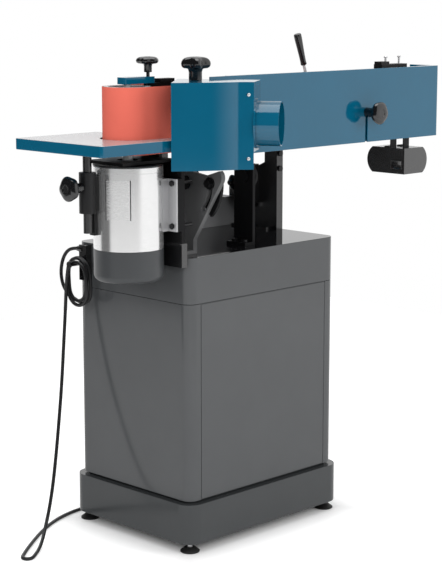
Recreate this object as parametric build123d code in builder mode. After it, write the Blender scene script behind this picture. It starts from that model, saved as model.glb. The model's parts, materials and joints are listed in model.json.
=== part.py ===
from build123d import *
import os
from math import cos, radians, sin, tan

os.makedirs("parts", exist_ok=True)

# Oscillating edge sander, millimetres. X runs along the belt, Y towards the operator, Z up.
# The origin is on the floor, under the middle of the machine's box.

# Fits and stock
running_fit = 0.05
slide_gap = 0.3
sheet = 2.0

# Cabinet stand
cabinet_width = 506.0
cabinet_depth = 392.0
cabinet_x = -73.0
cabinet_y = 64.0
corner_radius = 27.0
foot_height = 24.0
foot_inset = 16.0
foot_pad_radius = 23.0
foot_stud_radius = 6.0
plinth_height = 95.5
plinth_lip = 14.0
neck_height = 5.0
neck_inset = 12.0
cabinet_height = 467.5
seam = 1.0
cap_height = 108.0
rim_flange = 26.0
panel_width = 430.0
panel_gap = 1.5

# Tilt pivot
pivot_y = -61.0
pivot_z = 865.0
pivot_radius = 12.0
quadrant_x = -266.0
quadrant_thickness = 12.0
quadrant_lobe = (-157.0, 883.0)
quadrant_lobe_radius = 20.0
belt_way = ((-85.0, 940.0), (-85.0, 890.0), (-125.0, 885.0), (-200.0, 909.0), (-200.0, 940.0))
quadrant_waist = 735.0
quadrant_foot_rear = -85.0
quadrant_foot_front = -16.0
slot_radius = 80.0
slot_width = 13.0
lock_angle = 177.0
tilt_range = 45.0
lock_stud_radius = 5.0
lug_thickness = 8.0
lug_gap = 3.0
trunnion_x = -76.0
trunnion_thickness = 8.0
trunnion_half_width = 31.0

# Belt line
drum_x = -426.0
drum_y = -40.0
drum_radius = 54.5
sleeve_thickness = 2.0
idler_x = 556.0
idler_radius = 37.5
belt_bottom = 941.0
belt_width = 150.0
belt_thickness = 1.5
belt_gap = 0.3

# Head beam and platen
beam_left = -346.0
beam_right = 455.0
beam_rear = -56.0
beam_bottom = 955.0
beam_drop = 33.0
beam_wall = 5.0
platen_thickness = 8.0
pad_thickness = 3.0
platen_left = -360.0
platen_right = 500.0
platen_height = 142.0

# Oscillating carriage
stroke = 4.0
bar_left = -260.0
bar_right = 440.0
bar_rear = -54.0
bar_front = -10.0
bar_height = 20.0
guide_radius = 8.0
guide_xs = (-180.0, 340.0)
guide_y = -42.0
crank_z = 1010.0
crank_throw = 8.0
crank_pin_radius = 4.0

# Tension lever and tracking
tension_travel = 12.0
push_rod_y = -22.0
push_rod_radius = 4.0
lever_x = 188.0
lever_lean = 18.3
lever_length = 109.0

# Motor
motor_radius = 79.5
motor_bottom = 728.0
motor_height = 188.0
shield_height = 3.0
fan_cover_height = 73.0
shaft_radius = 12.0
mount_thickness = 10.0
mount_rear = -130.0
mount_front = 50.0
mount_bottom = 682.0
rail_thickness = 12.0
roof_left = -495.0
roof_half_width = 60.0
roof_lift = 2.0
roof_thickness = 7.0
roof_bore = 24.0
mount_lip_depth = 17.0
mount_lip_thickness = 4.0
mount_lip_height = 55.0
rail_width = 26.0
mount_top = 925.0
web_half_width = 9.0
foot_pad_thickness = 4.0
foot_z = (766.0, 885.0)
motor_bolt_zs = (778.0, 875.0)
motor_bolt_tail = 32.0
motor_bolt_radius = 4.0
motor_bolt_bore = 4.3
motor_bolt_head = 7.0

# Tables
table_thickness = 25.0
table_bottom = 951.0
small_table_left = -605.0
small_table_right = -362.0
small_table_rear = -157.0
small_table_front = 139.0
small_post_x = -526.0
small_post_y = -17.0
small_post_radius = 10.0
small_post_bottom = 769.0
clamp_radius = 19.0
clamp_bottom = 814.0
clamp_top = 905.0
clamp_foot_x = -514.0
clamp_foot_z = 763.0
main_table_left = -230.0
main_table_clip = (60.0, 65.0)
main_table_right = 466.0
main_table_rear = 20.0
main_table_front = 320.0
main_post_radius = 14.0
main_post_y = 133.0
main_post_bottom = 752.0
sleeve_bottom = 765.0
sleeve_top = 865.0
sleeve_half_width = 22.0
column_thickness = 6.0
column_left = -226.0
column_right = 158.0
column_rear = 54.0
column_front = 218.0
column_drop = 27.0
channel_height = 74.0
channel_rear = 198.0
channel_front = 238.0

# Rear guard
guard_left = -242.0
guard_right = 605.0
guard_face = -116.0
guard_sheet = 3.0
guard_bottom = 925.0
guard_top = 1108.0
guard_return = -20.0
guard_flange = 9.0
guard_flange_start = 60.0
guard_knob_x = 312.0
guard_knob_z = 1000.0
guard_slot_width = 9.0
knob_stud_radius = 4.0

# Dust hood, corners seen from above
hood_left = (-416.0, -171.0)
hood_bulge = (-352.6, -219.2)
hood_strip_start = (-280.5, -252.0)
hood_strip_end = (-261.5, -273.0)
hood_port_end = (-184.6, -219.7)
hood_far = (-284.0, -53.0)
skirt_cut = ((-150.0, -260.0), (-150.0, -40.0), (-300.0, -40.0))
hood_bottom = 910.0
hood_floor = 951.0
hood_top = 1103.0
port_radius = 50.0
port_length = 54.95
port_z = 1009.0
port_wall = 3.0
hood_knob_at = (-299.0, -127.0)

# Switch box
switch_left = 450.0
switch_width = 94.0
switch_rear = -129.0
switch_depth = 124.0
switch_bottom = 833.0
switch_height = 67.0
switch_wall = 3.0
switch_bulge = 18.0
hanger_width = 23.0
hanger_y = -84.0
hanger_top = 950.0
button_radius = 11.0
button_xs = (472.0, 512.0)

# Mains cord
cord_radius = 4.25
hook_size = (18.0, 26.0, 86.0)
hook_y = 206.0
hook_z = 611.0
hank_y = 214.0
hank_bend = 35.0
hank_straight = 40.0
hank_bottom = 552.0
hank_reach = 24.0
hank_turns = 3
peg_drop = 13.0
gland_length = 22.0
gland_sink = 10.0
coil_at = (-130.0, 330.0)
coil_radius = 47.0
plug_radius = 17.0

# Levels and faces that follow
cabinet_left = cabinet_x - cabinet_width / 2
cabinet_rear = cabinet_y - cabinet_depth / 2
hank_x = cabinet_left - hank_reach
plinth_top = foot_height + plinth_height
cabinet_bottom = plinth_top + neck_height
cabinet_top = cabinet_bottom + cabinet_height
cap_bottom = cabinet_top + seam
cap_top = cap_bottom + cap_height
idler_y = drum_y + drum_radius - idler_radius
belt_top = belt_bottom + belt_width
pad_face = drum_y + drum_radius - belt_gap / 3
platen_front = pad_face - pad_thickness
beam_front = platen_front - platen_thickness
beam_top = belt_top - beam_drop
bar_bottom = beam_top + stroke + 2
bar_top = bar_bottom + bar_height
arm_top = bar_top + 12
plate_bottom = belt_top + 2
plate_top = plate_bottom + 8
motor_top = motor_bottom + motor_height
shield_top = motor_top + shield_height
mount_left = beam_left
foot_face = mount_left - rail_thickness
mount_sides = ((mount_rear, 1), (mount_front, -1))
table_top = table_bottom + table_thickness
column_top = table_bottom - column_drop
main_post_xs = (column_left + column_thickness + sleeve_half_width, column_right - sleeve_half_width)
sleeve_front = main_post_y + sleeve_half_width
lock_y = pivot_y + slot_radius * cos(radians(lock_angle))
lock_z = pivot_z + slot_radius * sin(radians(lock_angle))
lug_x = quadrant_x + quadrant_thickness + lug_gap
right_lug_x = trunnion_x + trunnion_thickness + lug_gap
hood_join = (lug_x + 2.0, guard_face + guard_sheet + sheet / 2)
foot_reach_x = cabinet_width / 2 - foot_inset
foot_reach_y = cabinet_depth / 2 - foot_inset
feet = [
    (cabinet_x + side_x * foot_reach_x, cabinet_y + side_y * foot_reach_y)
    for side_x in (-1, 1)
    for side_y in (-1, 1)
]


def block(x, y, z, mode=Mode.ADD):
    with Locations(((x[0] + x[1]) / 2, (y[0] + y[1]) / 2, (z[0] + z[1]) / 2)):
        Box(x[1] - x[0], y[1] - y[0], z[1] - z[0], mode=mode)


def upright(at, z, radius, mode=Mode.ADD):
    with Locations((at[0], at[1], (z[0] + z[1]) / 2)):
        Cylinder(radius, z[1] - z[0], mode=mode)


def lying_x(x, y, z, radius, mode=Mode.ADD):
    with Locations(((x[0] + x[1]) / 2, y, z)):
        Cylinder(radius, x[1] - x[0], rotation=(0, 90, 0), mode=mode)


def lying_y(x, y, z, radius, mode=Mode.ADD):
    with Locations((x, (y[0] + y[1]) / 2, z)):
        Cylinder(radius, y[1] - y[0], rotation=(90, 0, 0), mode=mode)


def lobed_knob(hub_radius, hub_length, head_radius, head_thickness, stud_length, lobes=5):
    seat = (Align.CENTER, Align.CENTER, Align.MIN)
    lobe_radius = 0.3 * head_radius
    Cylinder(hub_radius, hub_length, align=seat)
    with Locations((0, 0, hub_length)):
        Cylinder(head_radius - lobe_radius, head_thickness, align=seat)
        with PolarLocations(head_radius - lobe_radius, lobes):
            Cylinder(lobe_radius, head_thickness, align=seat)
    with Locations((0, 0, -stud_length)):
        Cylinder(knob_stud_radius, stud_length, align=seat)


def round_corners(route):
    radii = []
    for before, corner, after in zip(route, route[1:], route[2:]):
        run_in = Vector(corner) - Vector(before)
        run_out = Vector(after) - Vector(corner)
        half_turn = radians(run_in.get_angle(run_out)) / 2
        radii.append(0.45 * min(run_in.length, run_out.length) / tan(half_turn))
    return radii


# Plinth: a pressed tray with a recessed neck that carries the cabinet
with BuildPart() as plinth:
    with BuildSketch(Plane.XY.offset(foot_height)):
        with Locations((cabinet_x, cabinet_y)):
            RectangleRounded(
                cabinet_width + 2 * plinth_lip, cabinet_depth + 2 * plinth_lip, corner_radius + plinth_lip
            )
    extrude(amount=plinth_height)
    with BuildSketch(Plane.XY.offset(plinth_top)):
        with Locations((cabinet_x, cabinet_y)):
            RectangleRounded(
                cabinet_width - 2 * neck_inset, cabinet_depth - 2 * neck_inset, corner_radius - neck_inset
            )
    extrude(amount=neck_height)
    with BuildSketch(Plane.XY.offset(foot_height + sheet)):
        with Locations((cabinet_x, cabinet_y)):
            RectangleRounded(
                cabinet_width + 2 * (plinth_lip - sheet),
                cabinet_depth + 2 * (plinth_lip - sheet),
                corner_radius + plinth_lip - sheet,
            )
    extrude(amount=plinth_height - 2 * sheet, mode=Mode.SUBTRACT)
    with BuildSketch(Plane.XY.offset(foot_height)):
        with Locations((cabinet_x, cabinet_y)):
            Rectangle(cabinet_width - 2 * rim_flange, cabinet_depth - 2 * rim_flange)
    extrude(amount=plinth_height + neck_height, mode=Mode.SUBTRACT)
    for foot in feet:
        upright(foot, (foot_height, foot_height + sheet), foot_stud_radius, Mode.SUBTRACT)

# Cabinet: a folded shell with flanged ends and a framed opening at the back
with BuildPart() as cabinet_shell:
    with BuildSketch(Plane.XY.offset(cabinet_bottom)):
        with Locations((cabinet_x, cabinet_y)):
            RectangleRounded(cabinet_width, cabinet_depth, corner_radius)
    extrude(amount=cabinet_height)
    with BuildSketch(Plane.XY.offset(cabinet_bottom + sheet)):
        with Locations((cabinet_x, cabinet_y)):
            RectangleRounded(cabinet_width - 2 * sheet, cabinet_depth - 2 * sheet, corner_radius - sheet)
    extrude(amount=cabinet_height - 2 * sheet, mode=Mode.SUBTRACT)
    with BuildSketch(Plane.XY.offset(cabinet_bottom)):
        with Locations((cabinet_x, cabinet_y)):
            Rectangle(cabinet_width - 2 * rim_flange, cabinet_depth - 2 * rim_flange)
    extrude(amount=cabinet_height, mode=Mode.SUBTRACT)
    block(
        (cabinet_x - panel_width / 2 - sheet, cabinet_x + panel_width / 2 + sheet),
        (cabinet_rear + sheet, cabinet_rear + 2 * sheet),
        (cabinet_bottom, cabinet_top),
    )
    block(
        (cabinet_x - panel_width / 2, cabinet_x + panel_width / 2),
        (cabinet_rear, cabinet_rear + sheet),
        (cabinet_bottom, cabinet_top),
        Mode.SUBTRACT,
    )
    block(
        (cabinet_x - panel_width / 2 + rim_flange, cabinet_x + panel_width / 2 - rim_flange),
        (cabinet_rear, cabinet_rear + 2 * sheet),
        (cabinet_bottom + rim_flange, cabinet_top - rim_flange),
        Mode.SUBTRACT,
    )

with BuildPart() as access_panel:
    block(
        (cabinet_x - panel_width / 2 + panel_gap, cabinet_x + panel_width / 2 - panel_gap),
        (cabinet_rear, cabinet_rear + sheet),
        (cabinet_bottom + panel_gap, cabinet_top - panel_gap),
    )

# Cap: an upturned tray whose neck sits on the cabinet
with BuildPart() as cabinet_cap:
    with BuildSketch(Plane.XY.offset(cap_bottom)):
        with Locations((cabinet_x, cabinet_y)):
            RectangleRounded(cabinet_width, cabinet_depth, corner_radius)
    extrude(amount=cap_height)
    with BuildSketch(Plane.XY.offset(cabinet_top)):
        with Locations((cabinet_x, cabinet_y)):
            RectangleRounded(
                cabinet_width - 2 * neck_inset, cabinet_depth - 2 * neck_inset, corner_radius - neck_inset
            )
    extrude(amount=seam)
    with BuildSketch(Plane.XY.offset(cap_bottom + sheet)):
        with Locations((cabinet_x, cabinet_y)):
            RectangleRounded(cabinet_width - 2 * sheet, cabinet_depth - 2 * sheet, corner_radius - sheet)
    extrude(amount=cap_height - 3 * sheet, mode=Mode.SUBTRACT)
    with BuildSketch(Plane.XY.offset(cabinet_top)):
        with Locations((cabinet_x, cabinet_y)):
            Rectangle(cabinet_width - 2 * rim_flange, cabinet_depth - 2 * rim_flange)
    extrude(amount=seam + cap_height - 2 * sheet, mode=Mode.SUBTRACT)

with BuildPart() as foot_pads:
    for foot in feet:
        with Locations((foot[0], foot[1], foot_height / 4)):
            Cone(foot_pad_radius, 0.65 * foot_pad_radius, foot_height / 2)

with BuildPart() as foot_studs:
    for foot in feet:
        upright(foot, (foot_height / 2, foot_height + sheet + 14), foot_stud_radius)
        upright(foot, (foot_height - 6, foot_height), 1.7 * foot_stud_radius)
        upright(foot, (foot_height + sheet, foot_height + sheet + 6), 1.7 * foot_stud_radius)

# Tilt quadrant: the slotted left cheek that the head pivots on
foot_flange = 8.0
flange_reach = 26.0
flange_bolt_radius = 5.0
flange_bolt_head = 6.0
quadrant_bolt_ys = (quadrant_foot_rear + 18, quadrant_foot_front - 18)
trunnion_bolt_ys = (pivot_y - trunnion_half_width + 15, pivot_y + trunnion_half_width - 15)
quadrant_bolt_x = quadrant_x - flange_reach / 2
trunnion_bolt_x = trunnion_x - flange_reach / 2
flange_top = cap_top + foot_flange
slot_start = lock_angle - 3
slot_sweep = tilt_range + 6
with BuildPart() as tilt_quadrant:
    with BuildSketch(Plane.YZ.offset(quadrant_x)):
        with BuildLine():
            CenterArc(quadrant_lobe, quadrant_lobe_radius, 0, 360)
            CenterArc((pivot_y, pivot_z), 3 * pivot_radius, 0, 360)
            Line((quadrant_foot_rear, quadrant_waist), (quadrant_foot_front, quadrant_waist))
        make_hull()
        with Locations(((quadrant_foot_rear + quadrant_foot_front) / 2, (cap_top + quadrant_waist) / 2)):
            Rectangle(quadrant_foot_front - quadrant_foot_rear, quadrant_waist - cap_top)
        with BuildLine():
            Polyline(*belt_way, close=True)
        make_face(mode=Mode.SUBTRACT)
        with Locations((pivot_y, pivot_z)):
            Circle(3 * pivot_radius)
        with Locations((pivot_y, pivot_z)):
            Circle(pivot_radius + running_fit, mode=Mode.SUBTRACT)
        with BuildLine():
            outer_arc = CenterArc((pivot_y, pivot_z), slot_radius + slot_width / 2, slot_start, slot_sweep)
            inner_arc = CenterArc((pivot_y, pivot_z), slot_radius - slot_width / 2, slot_start, slot_sweep)
            Line(outer_arc @ 0, inner_arc @ 0)
            Line(outer_arc @ 1, inner_arc @ 1)
        make_face(mode=Mode.SUBTRACT)
        with Locations((pivot_y, pivot_z)):
            with PolarLocations(slot_radius, 2, slot_start, slot_sweep, endpoint=True):
                Circle(slot_width / 2, mode=Mode.SUBTRACT)
    extrude(amount=quadrant_thickness)
    block(
        (quadrant_x - flange_reach, quadrant_x),
        (quadrant_foot_rear, quadrant_foot_front),
        (cap_top, flange_top),
    )
    for bolt_y in quadrant_bolt_ys:
        upright((quadrant_bolt_x, bolt_y), (cap_top, flange_top), flange_bolt_radius, Mode.SUBTRACT)

with BuildPart() as trunnion_plate:
    with BuildSketch(Plane.YZ.offset(trunnion_x)):
        trunnion_top = pivot_z + trunnion_half_width
        with Locations((pivot_y, (cap_top + trunnion_top) / 2)):
            Rectangle(2 * trunnion_half_width, trunnion_top - cap_top)
        with Locations((pivot_y, pivot_z)):
            Circle(pivot_radius + running_fit, mode=Mode.SUBTRACT)
    extrude(amount=trunnion_thickness)
    block(
        (trunnion_x - flange_reach, trunnion_x),
        (pivot_y - trunnion_half_width, pivot_y + trunnion_half_width),
        (cap_top, flange_top),
    )
    for bolt_y in trunnion_bolt_ys:
        upright((trunnion_bolt_x, bolt_y), (cap_top, flange_top), flange_bolt_radius, Mode.SUBTRACT)

# Table columns: two gusset plates on the cap, each with a rear and a foot flange
column_flange = 22.0
column_bolt_zs = (column_top - 29, column_top - 67)
with BuildPart() as table_columns:
    for column_x, side in ((column_left, -1), (column_right, 1)):
        with BuildSketch(Plane.YZ.offset(column_x)):
            with BuildLine():
                Polyline(
                    (column_rear, cap_top),
                    (column_rear, column_top),
                    (column_rear + 37, column_top),
                    (column_rear + 37, column_top - 53),
                    (column_front, column_top - 111),
                    (column_front, cap_top),
                    close=True,
                )
            make_face()
        extrude(amount=column_thickness)
        inner_face = column_x + column_thickness if side < 0 else column_x
        rear_flange = sorted((inner_face, inner_face + side * column_flange))
        block(rear_flange, (column_rear - column_thickness, column_rear), (cap_top, column_top))
        inner_flange = sorted((inner_face, inner_face - side * column_flange))
        block(inner_flange, (column_rear + 10, channel_rear - 10), (cap_top, cap_top + column_thickness))
        for bolt_z in column_bolt_zs:
            lying_y(
                column_x + column_thickness / 2 + side * column_flange / 3,
                (column_rear - column_thickness, column_rear),
                bolt_z,
                knob_stud_radius,
                Mode.SUBTRACT,
            )

with BuildPart() as cross_channel:
    block(
        (column_left + column_thickness, column_right),
        (channel_rear, channel_front),
        (cap_top, cap_top + channel_height),
    )
    block(
        (column_left + column_thickness, column_right),
        (channel_rear + 4, channel_front),
        (cap_top + 4, cap_top + channel_height - 4),
        Mode.SUBTRACT,
    )

# Table sleeves: bored blocks on the inner faces of the columns
table_knob_z = (sleeve_bottom + sleeve_top) / 2
stud_bore = knob_stud_radius + running_fit
with BuildPart() as table_sleeves:
    for post_x in main_post_xs:
        block(
            (post_x - sleeve_half_width, post_x + sleeve_half_width),
            (main_post_y - sleeve_half_width, sleeve_front),
            (sleeve_bottom, sleeve_top),
        )
        post_bore = main_post_radius + running_fit
        upright((post_x, main_post_y), (sleeve_bottom, sleeve_top), post_bore, Mode.SUBTRACT)
        lying_y(post_x, (main_post_y, sleeve_front), table_knob_z, stud_bore, Mode.SUBTRACT)

flange_bolts = [(quadrant_bolt_x, bolt_y) for bolt_y in quadrant_bolt_ys]
flange_bolts += [(trunnion_bolt_x, bolt_y) for bolt_y in trunnion_bolt_ys]
with BuildPart() as frame_bolts:
    for bolt in flange_bolts:
        upright(bolt, (cap_top, flange_top), flange_bolt_radius)
        upright(bolt, (flange_top, flange_top + flange_bolt_head), 1.6 * flange_bolt_radius)
    for column_x, side in ((column_left, -1), (column_right, 1)):
        bolt_x = column_x + column_thickness / 2 + side * column_flange / 3
        for bolt_z in column_bolt_zs:
            lying_y(bolt_x, (column_rear - column_thickness, column_rear), bolt_z, knob_stud_radius)
            lying_y(bolt_x, (column_rear - column_thickness - 5, column_rear - column_thickness), bolt_z, 7)
    screw_tip = main_post_y + main_post_radius + slide_gap
    lying_y(main_post_xs[0], (screw_tip, sleeve_front), table_knob_z, knob_stud_radius)
    screw_head = (sleeve_front, sleeve_front + flange_bolt_head)
    lying_y(main_post_xs[0], screw_head, table_knob_z, 2 * knob_stud_radius)

# Main table: a ribbed casting on two round posts
with BuildPart() as main_table:
    block((main_table_left, main_table_right), (main_table_rear, main_table_front), (table_bottom, table_top))
    rib_xs = list(main_post_xs) + [main_table_right]
    for pocket_left, pocket_right in zip(rib_xs, rib_xs[1:]):
        right_wall = 30 if pocket_right in main_post_xs else 10
        block(
            (pocket_left + 30, pocket_right - right_wall),
            (main_table_rear + 10, main_table_front - 10),
            (table_bottom, table_top - 9),
            Mode.SUBTRACT,
        )
    with BuildSketch(Plane.XY.offset(table_bottom)):
        with BuildLine():
            Polyline(
                (main_table_left, main_table_front),
                (main_table_left + main_table_clip[0], main_table_front),
                (main_table_left, main_table_front - main_table_clip[1]),
                close=True,
            )
        make_face()
    extrude(amount=table_thickness, mode=Mode.SUBTRACT)

with BuildPart() as main_table_posts:
    for post_x in main_post_xs:
        upright((post_x, main_post_y), (main_post_bottom, table_bottom), main_post_radius)
        upright((post_x, main_post_y), (table_bottom - 8, table_bottom), 2 * main_post_radius)

main_knob_plane = Plane((main_post_xs[1], sleeve_front + slide_gap, table_knob_z), z_dir=(0, 1, 0))
with BuildPart(main_knob_plane) as main_table_knob:
    lobed_knob(10, 18, sleeve_half_width - 2, 16, sleeve_half_width - main_post_radius)

# Head beam: a welded box tube
with BuildPart() as head_beam:
    block((beam_left, beam_right), (beam_rear, beam_front), (beam_bottom, beam_top))
    block(
        (beam_left, beam_right),
        (beam_rear + beam_wall, beam_front - beam_wall),
        (beam_bottom + beam_wall, beam_top - beam_wall),
        Mode.SUBTRACT,
    )
    for guide_x in guide_xs:
        upright((guide_x, guide_y), (beam_top - beam_wall, beam_top), guide_radius, Mode.SUBTRACT)
    lying_y(0, (beam_rear, beam_rear + beam_wall), crank_z, 2.5 * crank_pin_radius, Mode.SUBTRACT)

with BuildPart() as guide_rods:
    for guide_x in guide_xs:
        upright((guide_x, guide_y), (beam_top - 3 * beam_wall, bar_top + 3 * stroke), guide_radius)
        upright((guide_x, guide_y), (beam_top - 2 * beam_wall, beam_top - beam_wall), guide_radius + 1)

platen_bottom = belt_bottom + (belt_width - platen_height) / 2
platen_top = platen_bottom + platen_height
with BuildPart() as platen:
    block((platen_left, platen_right), (beam_front, platen_front), (platen_bottom, platen_top))

with BuildPart() as graphite_pad:
    block((platen_left, platen_right), (platen_front, pad_face), (platen_bottom, platen_top))

# Tilt lugs: two cheeks under the beam, each with its pivot pin
lug_radius = 2.5 * pivot_radius
with BuildPart() as tilt_lugs:
    for cheek_x, plate_x in ((lug_x, quadrant_x), (right_lug_x, trunnion_x)):
        with BuildSketch(Plane.YZ.offset(cheek_x)):
            with BuildLine():
                Polyline(
                    (pivot_y - lug_radius, pivot_z),
                    (beam_rear, beam_bottom - 18),
                    (beam_rear, beam_bottom),
                    (beam_front, beam_bottom),
                    (beam_front, beam_bottom - 18),
                    (pivot_y + lug_radius, pivot_z),
                    close=True,
                )
            make_face()
            with Locations((pivot_y, pivot_z)):
                Circle(lug_radius)
            if cheek_x == lug_x:
                with BuildLine():
                    sector_rim = CenterArc(
                        (pivot_y, pivot_z), slot_radius + 20, slot_start - 10, slot_sweep + 14
                    )
                    Polyline(sector_rim @ 1, (pivot_y, pivot_z), sector_rim @ 0)
                make_face()
                with Locations((lock_y, lock_z)):
                    Circle(lock_stud_radius + running_fit, mode=Mode.SUBTRACT)
        extrude(amount=lug_thickness)
        lying_x((plate_x - 6, cheek_x), pivot_y, pivot_z, pivot_radius)
        lying_x((plate_x - 6, plate_x - 1), pivot_y, pivot_z, 1.35 * pivot_radius)

lock_plane = Plane((quadrant_x - slide_gap, lock_y, lock_z), x_dir=(0, 1, 0), z_dir=(-1, 0, 0))
with BuildPart(lock_plane) as tilt_lock_nut:
    seat_down = (Align.CENTER, Align.CENTER, Align.MAX)
    seat_up = (Align.CENTER, Align.CENTER, Align.MIN)
    Cylinder(2.8 * lock_stud_radius, 4, align=seat_up)
    with BuildSketch(lock_plane.offset(4)):
        RegularPolygon(1.9 * lock_stud_radius, 6)
    extrude(amount=9)
    Cylinder(lock_stud_radius, quadrant_thickness + lug_gap + lug_thickness + slide_gap, align=seat_down)

# Motor hung on a plate under the left end of the beam, with a rail behind each foot
motor_axis = (drum_x, drum_y)
mount_face = mount_left + mount_thickness
bolt_ys = [edge + side * rail_width / 2 for edge, side in mount_sides]
with BuildPart() as motor_mount_plate:
    block((mount_left, mount_face), (mount_rear, mount_front), (mount_bottom, mount_top))
    block((mount_left, mount_face), (beam_rear, beam_front), (mount_top, beam_bottom))
    shelf_right = mount_left + 5 * mount_thickness
    block((mount_left, shelf_right), (beam_rear, beam_front), (beam_bottom - 8, beam_bottom))
    block(
        (mount_left, mount_left + mount_lip_depth),
        (mount_rear, mount_rear + mount_lip_thickness),
        (mount_bottom, mount_bottom + mount_lip_height),
    )
    roof_z = (shield_top + roof_lift, shield_top + roof_lift + roof_thickness)
    block((roof_left, mount_face), (drum_y - roof_half_width, drum_y + roof_half_width), roof_z)
    upright(motor_axis, roof_z, roof_bore, Mode.SUBTRACT)
    for edge, side in mount_sides:
        block((foot_face, mount_left), sorted((edge, edge + side * rail_width)), foot_z)
    for bolt_y in bolt_ys:
        for bolt_z in motor_bolt_zs:
            lying_x((foot_face, mount_face), bolt_y, bolt_z, motor_bolt_bore, Mode.SUBTRACT)

with BuildPart() as motor_body:
    upright(motor_axis, (motor_bottom, motor_top), motor_radius)
    upright(motor_axis, (motor_bottom + 10, motor_top), motor_radius - 24, Mode.SUBTRACT)
    upright(motor_axis, (motor_bottom, motor_bottom + 10), shaft_radius + running_fit, Mode.SUBTRACT)

with BuildPart() as motor_end_shield:
    upright(motor_axis, (motor_top, shield_top), motor_radius)
    upright(motor_axis, (motor_top, shield_top), shaft_radius + running_fit, Mode.SUBTRACT)

pad_face_x = foot_face - foot_pad_thickness
web_left_x = foot_face - 42
with BuildPart() as motor_feet:
    for edge, side in mount_sides:
        pad_end = edge + side * (rail_width + web_half_width)
        web_y = sorted((pad_end - side * web_half_width, pad_end + side * web_half_width))
        block((web_left_x, foot_face), web_y, foot_z)
        block((pad_face_x, foot_face), sorted((edge, pad_end)), foot_z)
    for bolt_y in bolt_ys:
        for bolt_z in motor_bolt_zs:
            lying_x((pad_face_x, foot_face), bolt_y, bolt_z, motor_bolt_bore, Mode.SUBTRACT)
    upright(motor_axis, (motor_bottom, motor_top), motor_radius, Mode.SUBTRACT)

cover_bottom = motor_bottom - fan_cover_height
cover_round = 16.0
with BuildPart() as fan_cover:
    upright(motor_axis, (cover_bottom, motor_bottom), motor_radius)
    fillet(fan_cover.edges().group_by(Axis.Z)[0], cover_round)
    upright(motor_axis, (cover_bottom + sheet, motor_bottom), motor_radius - cover_round, Mode.SUBTRACT)
    wall_bottom = cover_bottom + cover_round + sheet
    upright(motor_axis, (wall_bottom, motor_bottom), motor_radius - sheet, Mode.SUBTRACT)
    with BuildSketch(Plane.XY.offset(cover_bottom)):
        with Locations(motor_axis):
            with PolarLocations(0.5 * motor_radius, 12):
                SlotOverall(0.45 * motor_radius, 8)
    extrude(amount=sheet, mode=Mode.SUBTRACT)

shaft_top = belt_top - 21
fan_z = cover_bottom + 24
with BuildPart() as motor_shaft:
    upright(motor_axis, (fan_z - 4, shaft_top), shaft_radius)
    upright(motor_axis, (motor_bottom + 28, motor_top - 25), motor_radius - 26)
    upright(motor_axis, (fan_z, fan_z + 26), shaft_radius + 6)
    upright(motor_axis, (fan_z, fan_z + 4), motor_radius - 20)
    with Locations((drum_x, drum_y, fan_z + 14)):
        with PolarLocations((shaft_radius + motor_radius - 20) / 2, 8):
            Box(motor_radius - 20 - shaft_radius, 3, 24)

# Drum: a webbed wheel with a rubber sleeve, keyed to slide on the motor shaft
core_radius = drum_radius - sleeve_thickness
hub_top = belt_top - 5
stub_radius = 8.0
block_top = arm_top + 15
with BuildPart() as drive_drum:
    upright(motor_axis, (belt_bottom, belt_top), core_radius)
    upright(motor_axis, (belt_bottom, belt_top), core_radius - 10, Mode.SUBTRACT)
    upright(motor_axis, (belt_bottom + 60, belt_bottom + 72), core_radius - 5)
    upright(motor_axis, (belt_bottom + 4, hub_top), shaft_radius + 9)
    upright(motor_axis, (belt_bottom, shaft_top + 2 * stroke), shaft_radius + running_fit, Mode.SUBTRACT)
    upright(motor_axis, (hub_top, block_top), stub_radius)

with BuildPart() as drum_sleeve:
    upright(motor_axis, (belt_bottom, belt_top), drum_radius)
    upright(motor_axis, (belt_bottom, belt_top), core_radius, Mode.SUBTRACT)

# Sanding belt: a closed loop over the drum and the idler
with BuildPart() as sanding_belt:
    for growth, change in ((belt_gap + belt_thickness, Mode.ADD), (belt_gap, Mode.SUBTRACT)):
        with BuildSketch(Plane.XY.offset(belt_bottom)) as loop:
            drum_edge = CenterArc((drum_x, drum_y), drum_radius + growth, 0, 360, mode=Mode.PRIVATE)
            idler_edge = CenterArc((idler_x, idler_y), idler_radius + growth, 0, 360, mode=Mode.PRIVATE)
            make_hull([drum_edge, idler_edge])
        extrude(amount=belt_width, mode=change)

# Carriage bar: rides on the guide rods, with a slotted tongue for the crank and ears for the lever
tongue_gap = 8.0
tongue_thickness = 6.0
tongue_front = beam_rear - tongue_gap
lever_z = bar_top + 8
key_rear = -40.0
key_front = -28.0
key_left = 385.0
with BuildPart() as carriage_bar:
    block((bar_left, bar_right), (bar_rear, bar_front), (bar_bottom, bar_top))
    block((-30, 30), (tongue_front - tongue_thickness, bar_rear), (bar_bottom, bar_top))
    block((-30, 30), (tongue_front - tongue_thickness, tongue_front), (crank_z - 25, bar_bottom))
    block(
        (crank_throw - crank_pin_radius - 3, crank_throw + crank_pin_radius + 2),
        (tongue_front - tongue_thickness, tongue_front),
        (crank_z - crank_pin_radius - slide_gap, crank_z + crank_pin_radius + slide_gap),
        Mode.SUBTRACT,
    )
    for guide_x in guide_xs:
        upright((guide_x, guide_y), (bar_bottom, bar_top), guide_radius + running_fit, Mode.SUBTRACT)
    for ear_y in (push_rod_y - 8, push_rod_y + 4):
        block((lever_x - 12, lever_x + 12), (ear_y, ear_y + 4), (bar_top, lever_z + 9))
        lying_y(lever_x, (ear_y, ear_y + 4), lever_z, 4 + running_fit, Mode.SUBTRACT)
    block((key_left, bar_right), (key_rear, key_front), (bar_top - 14, bar_top), Mode.SUBTRACT)

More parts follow.
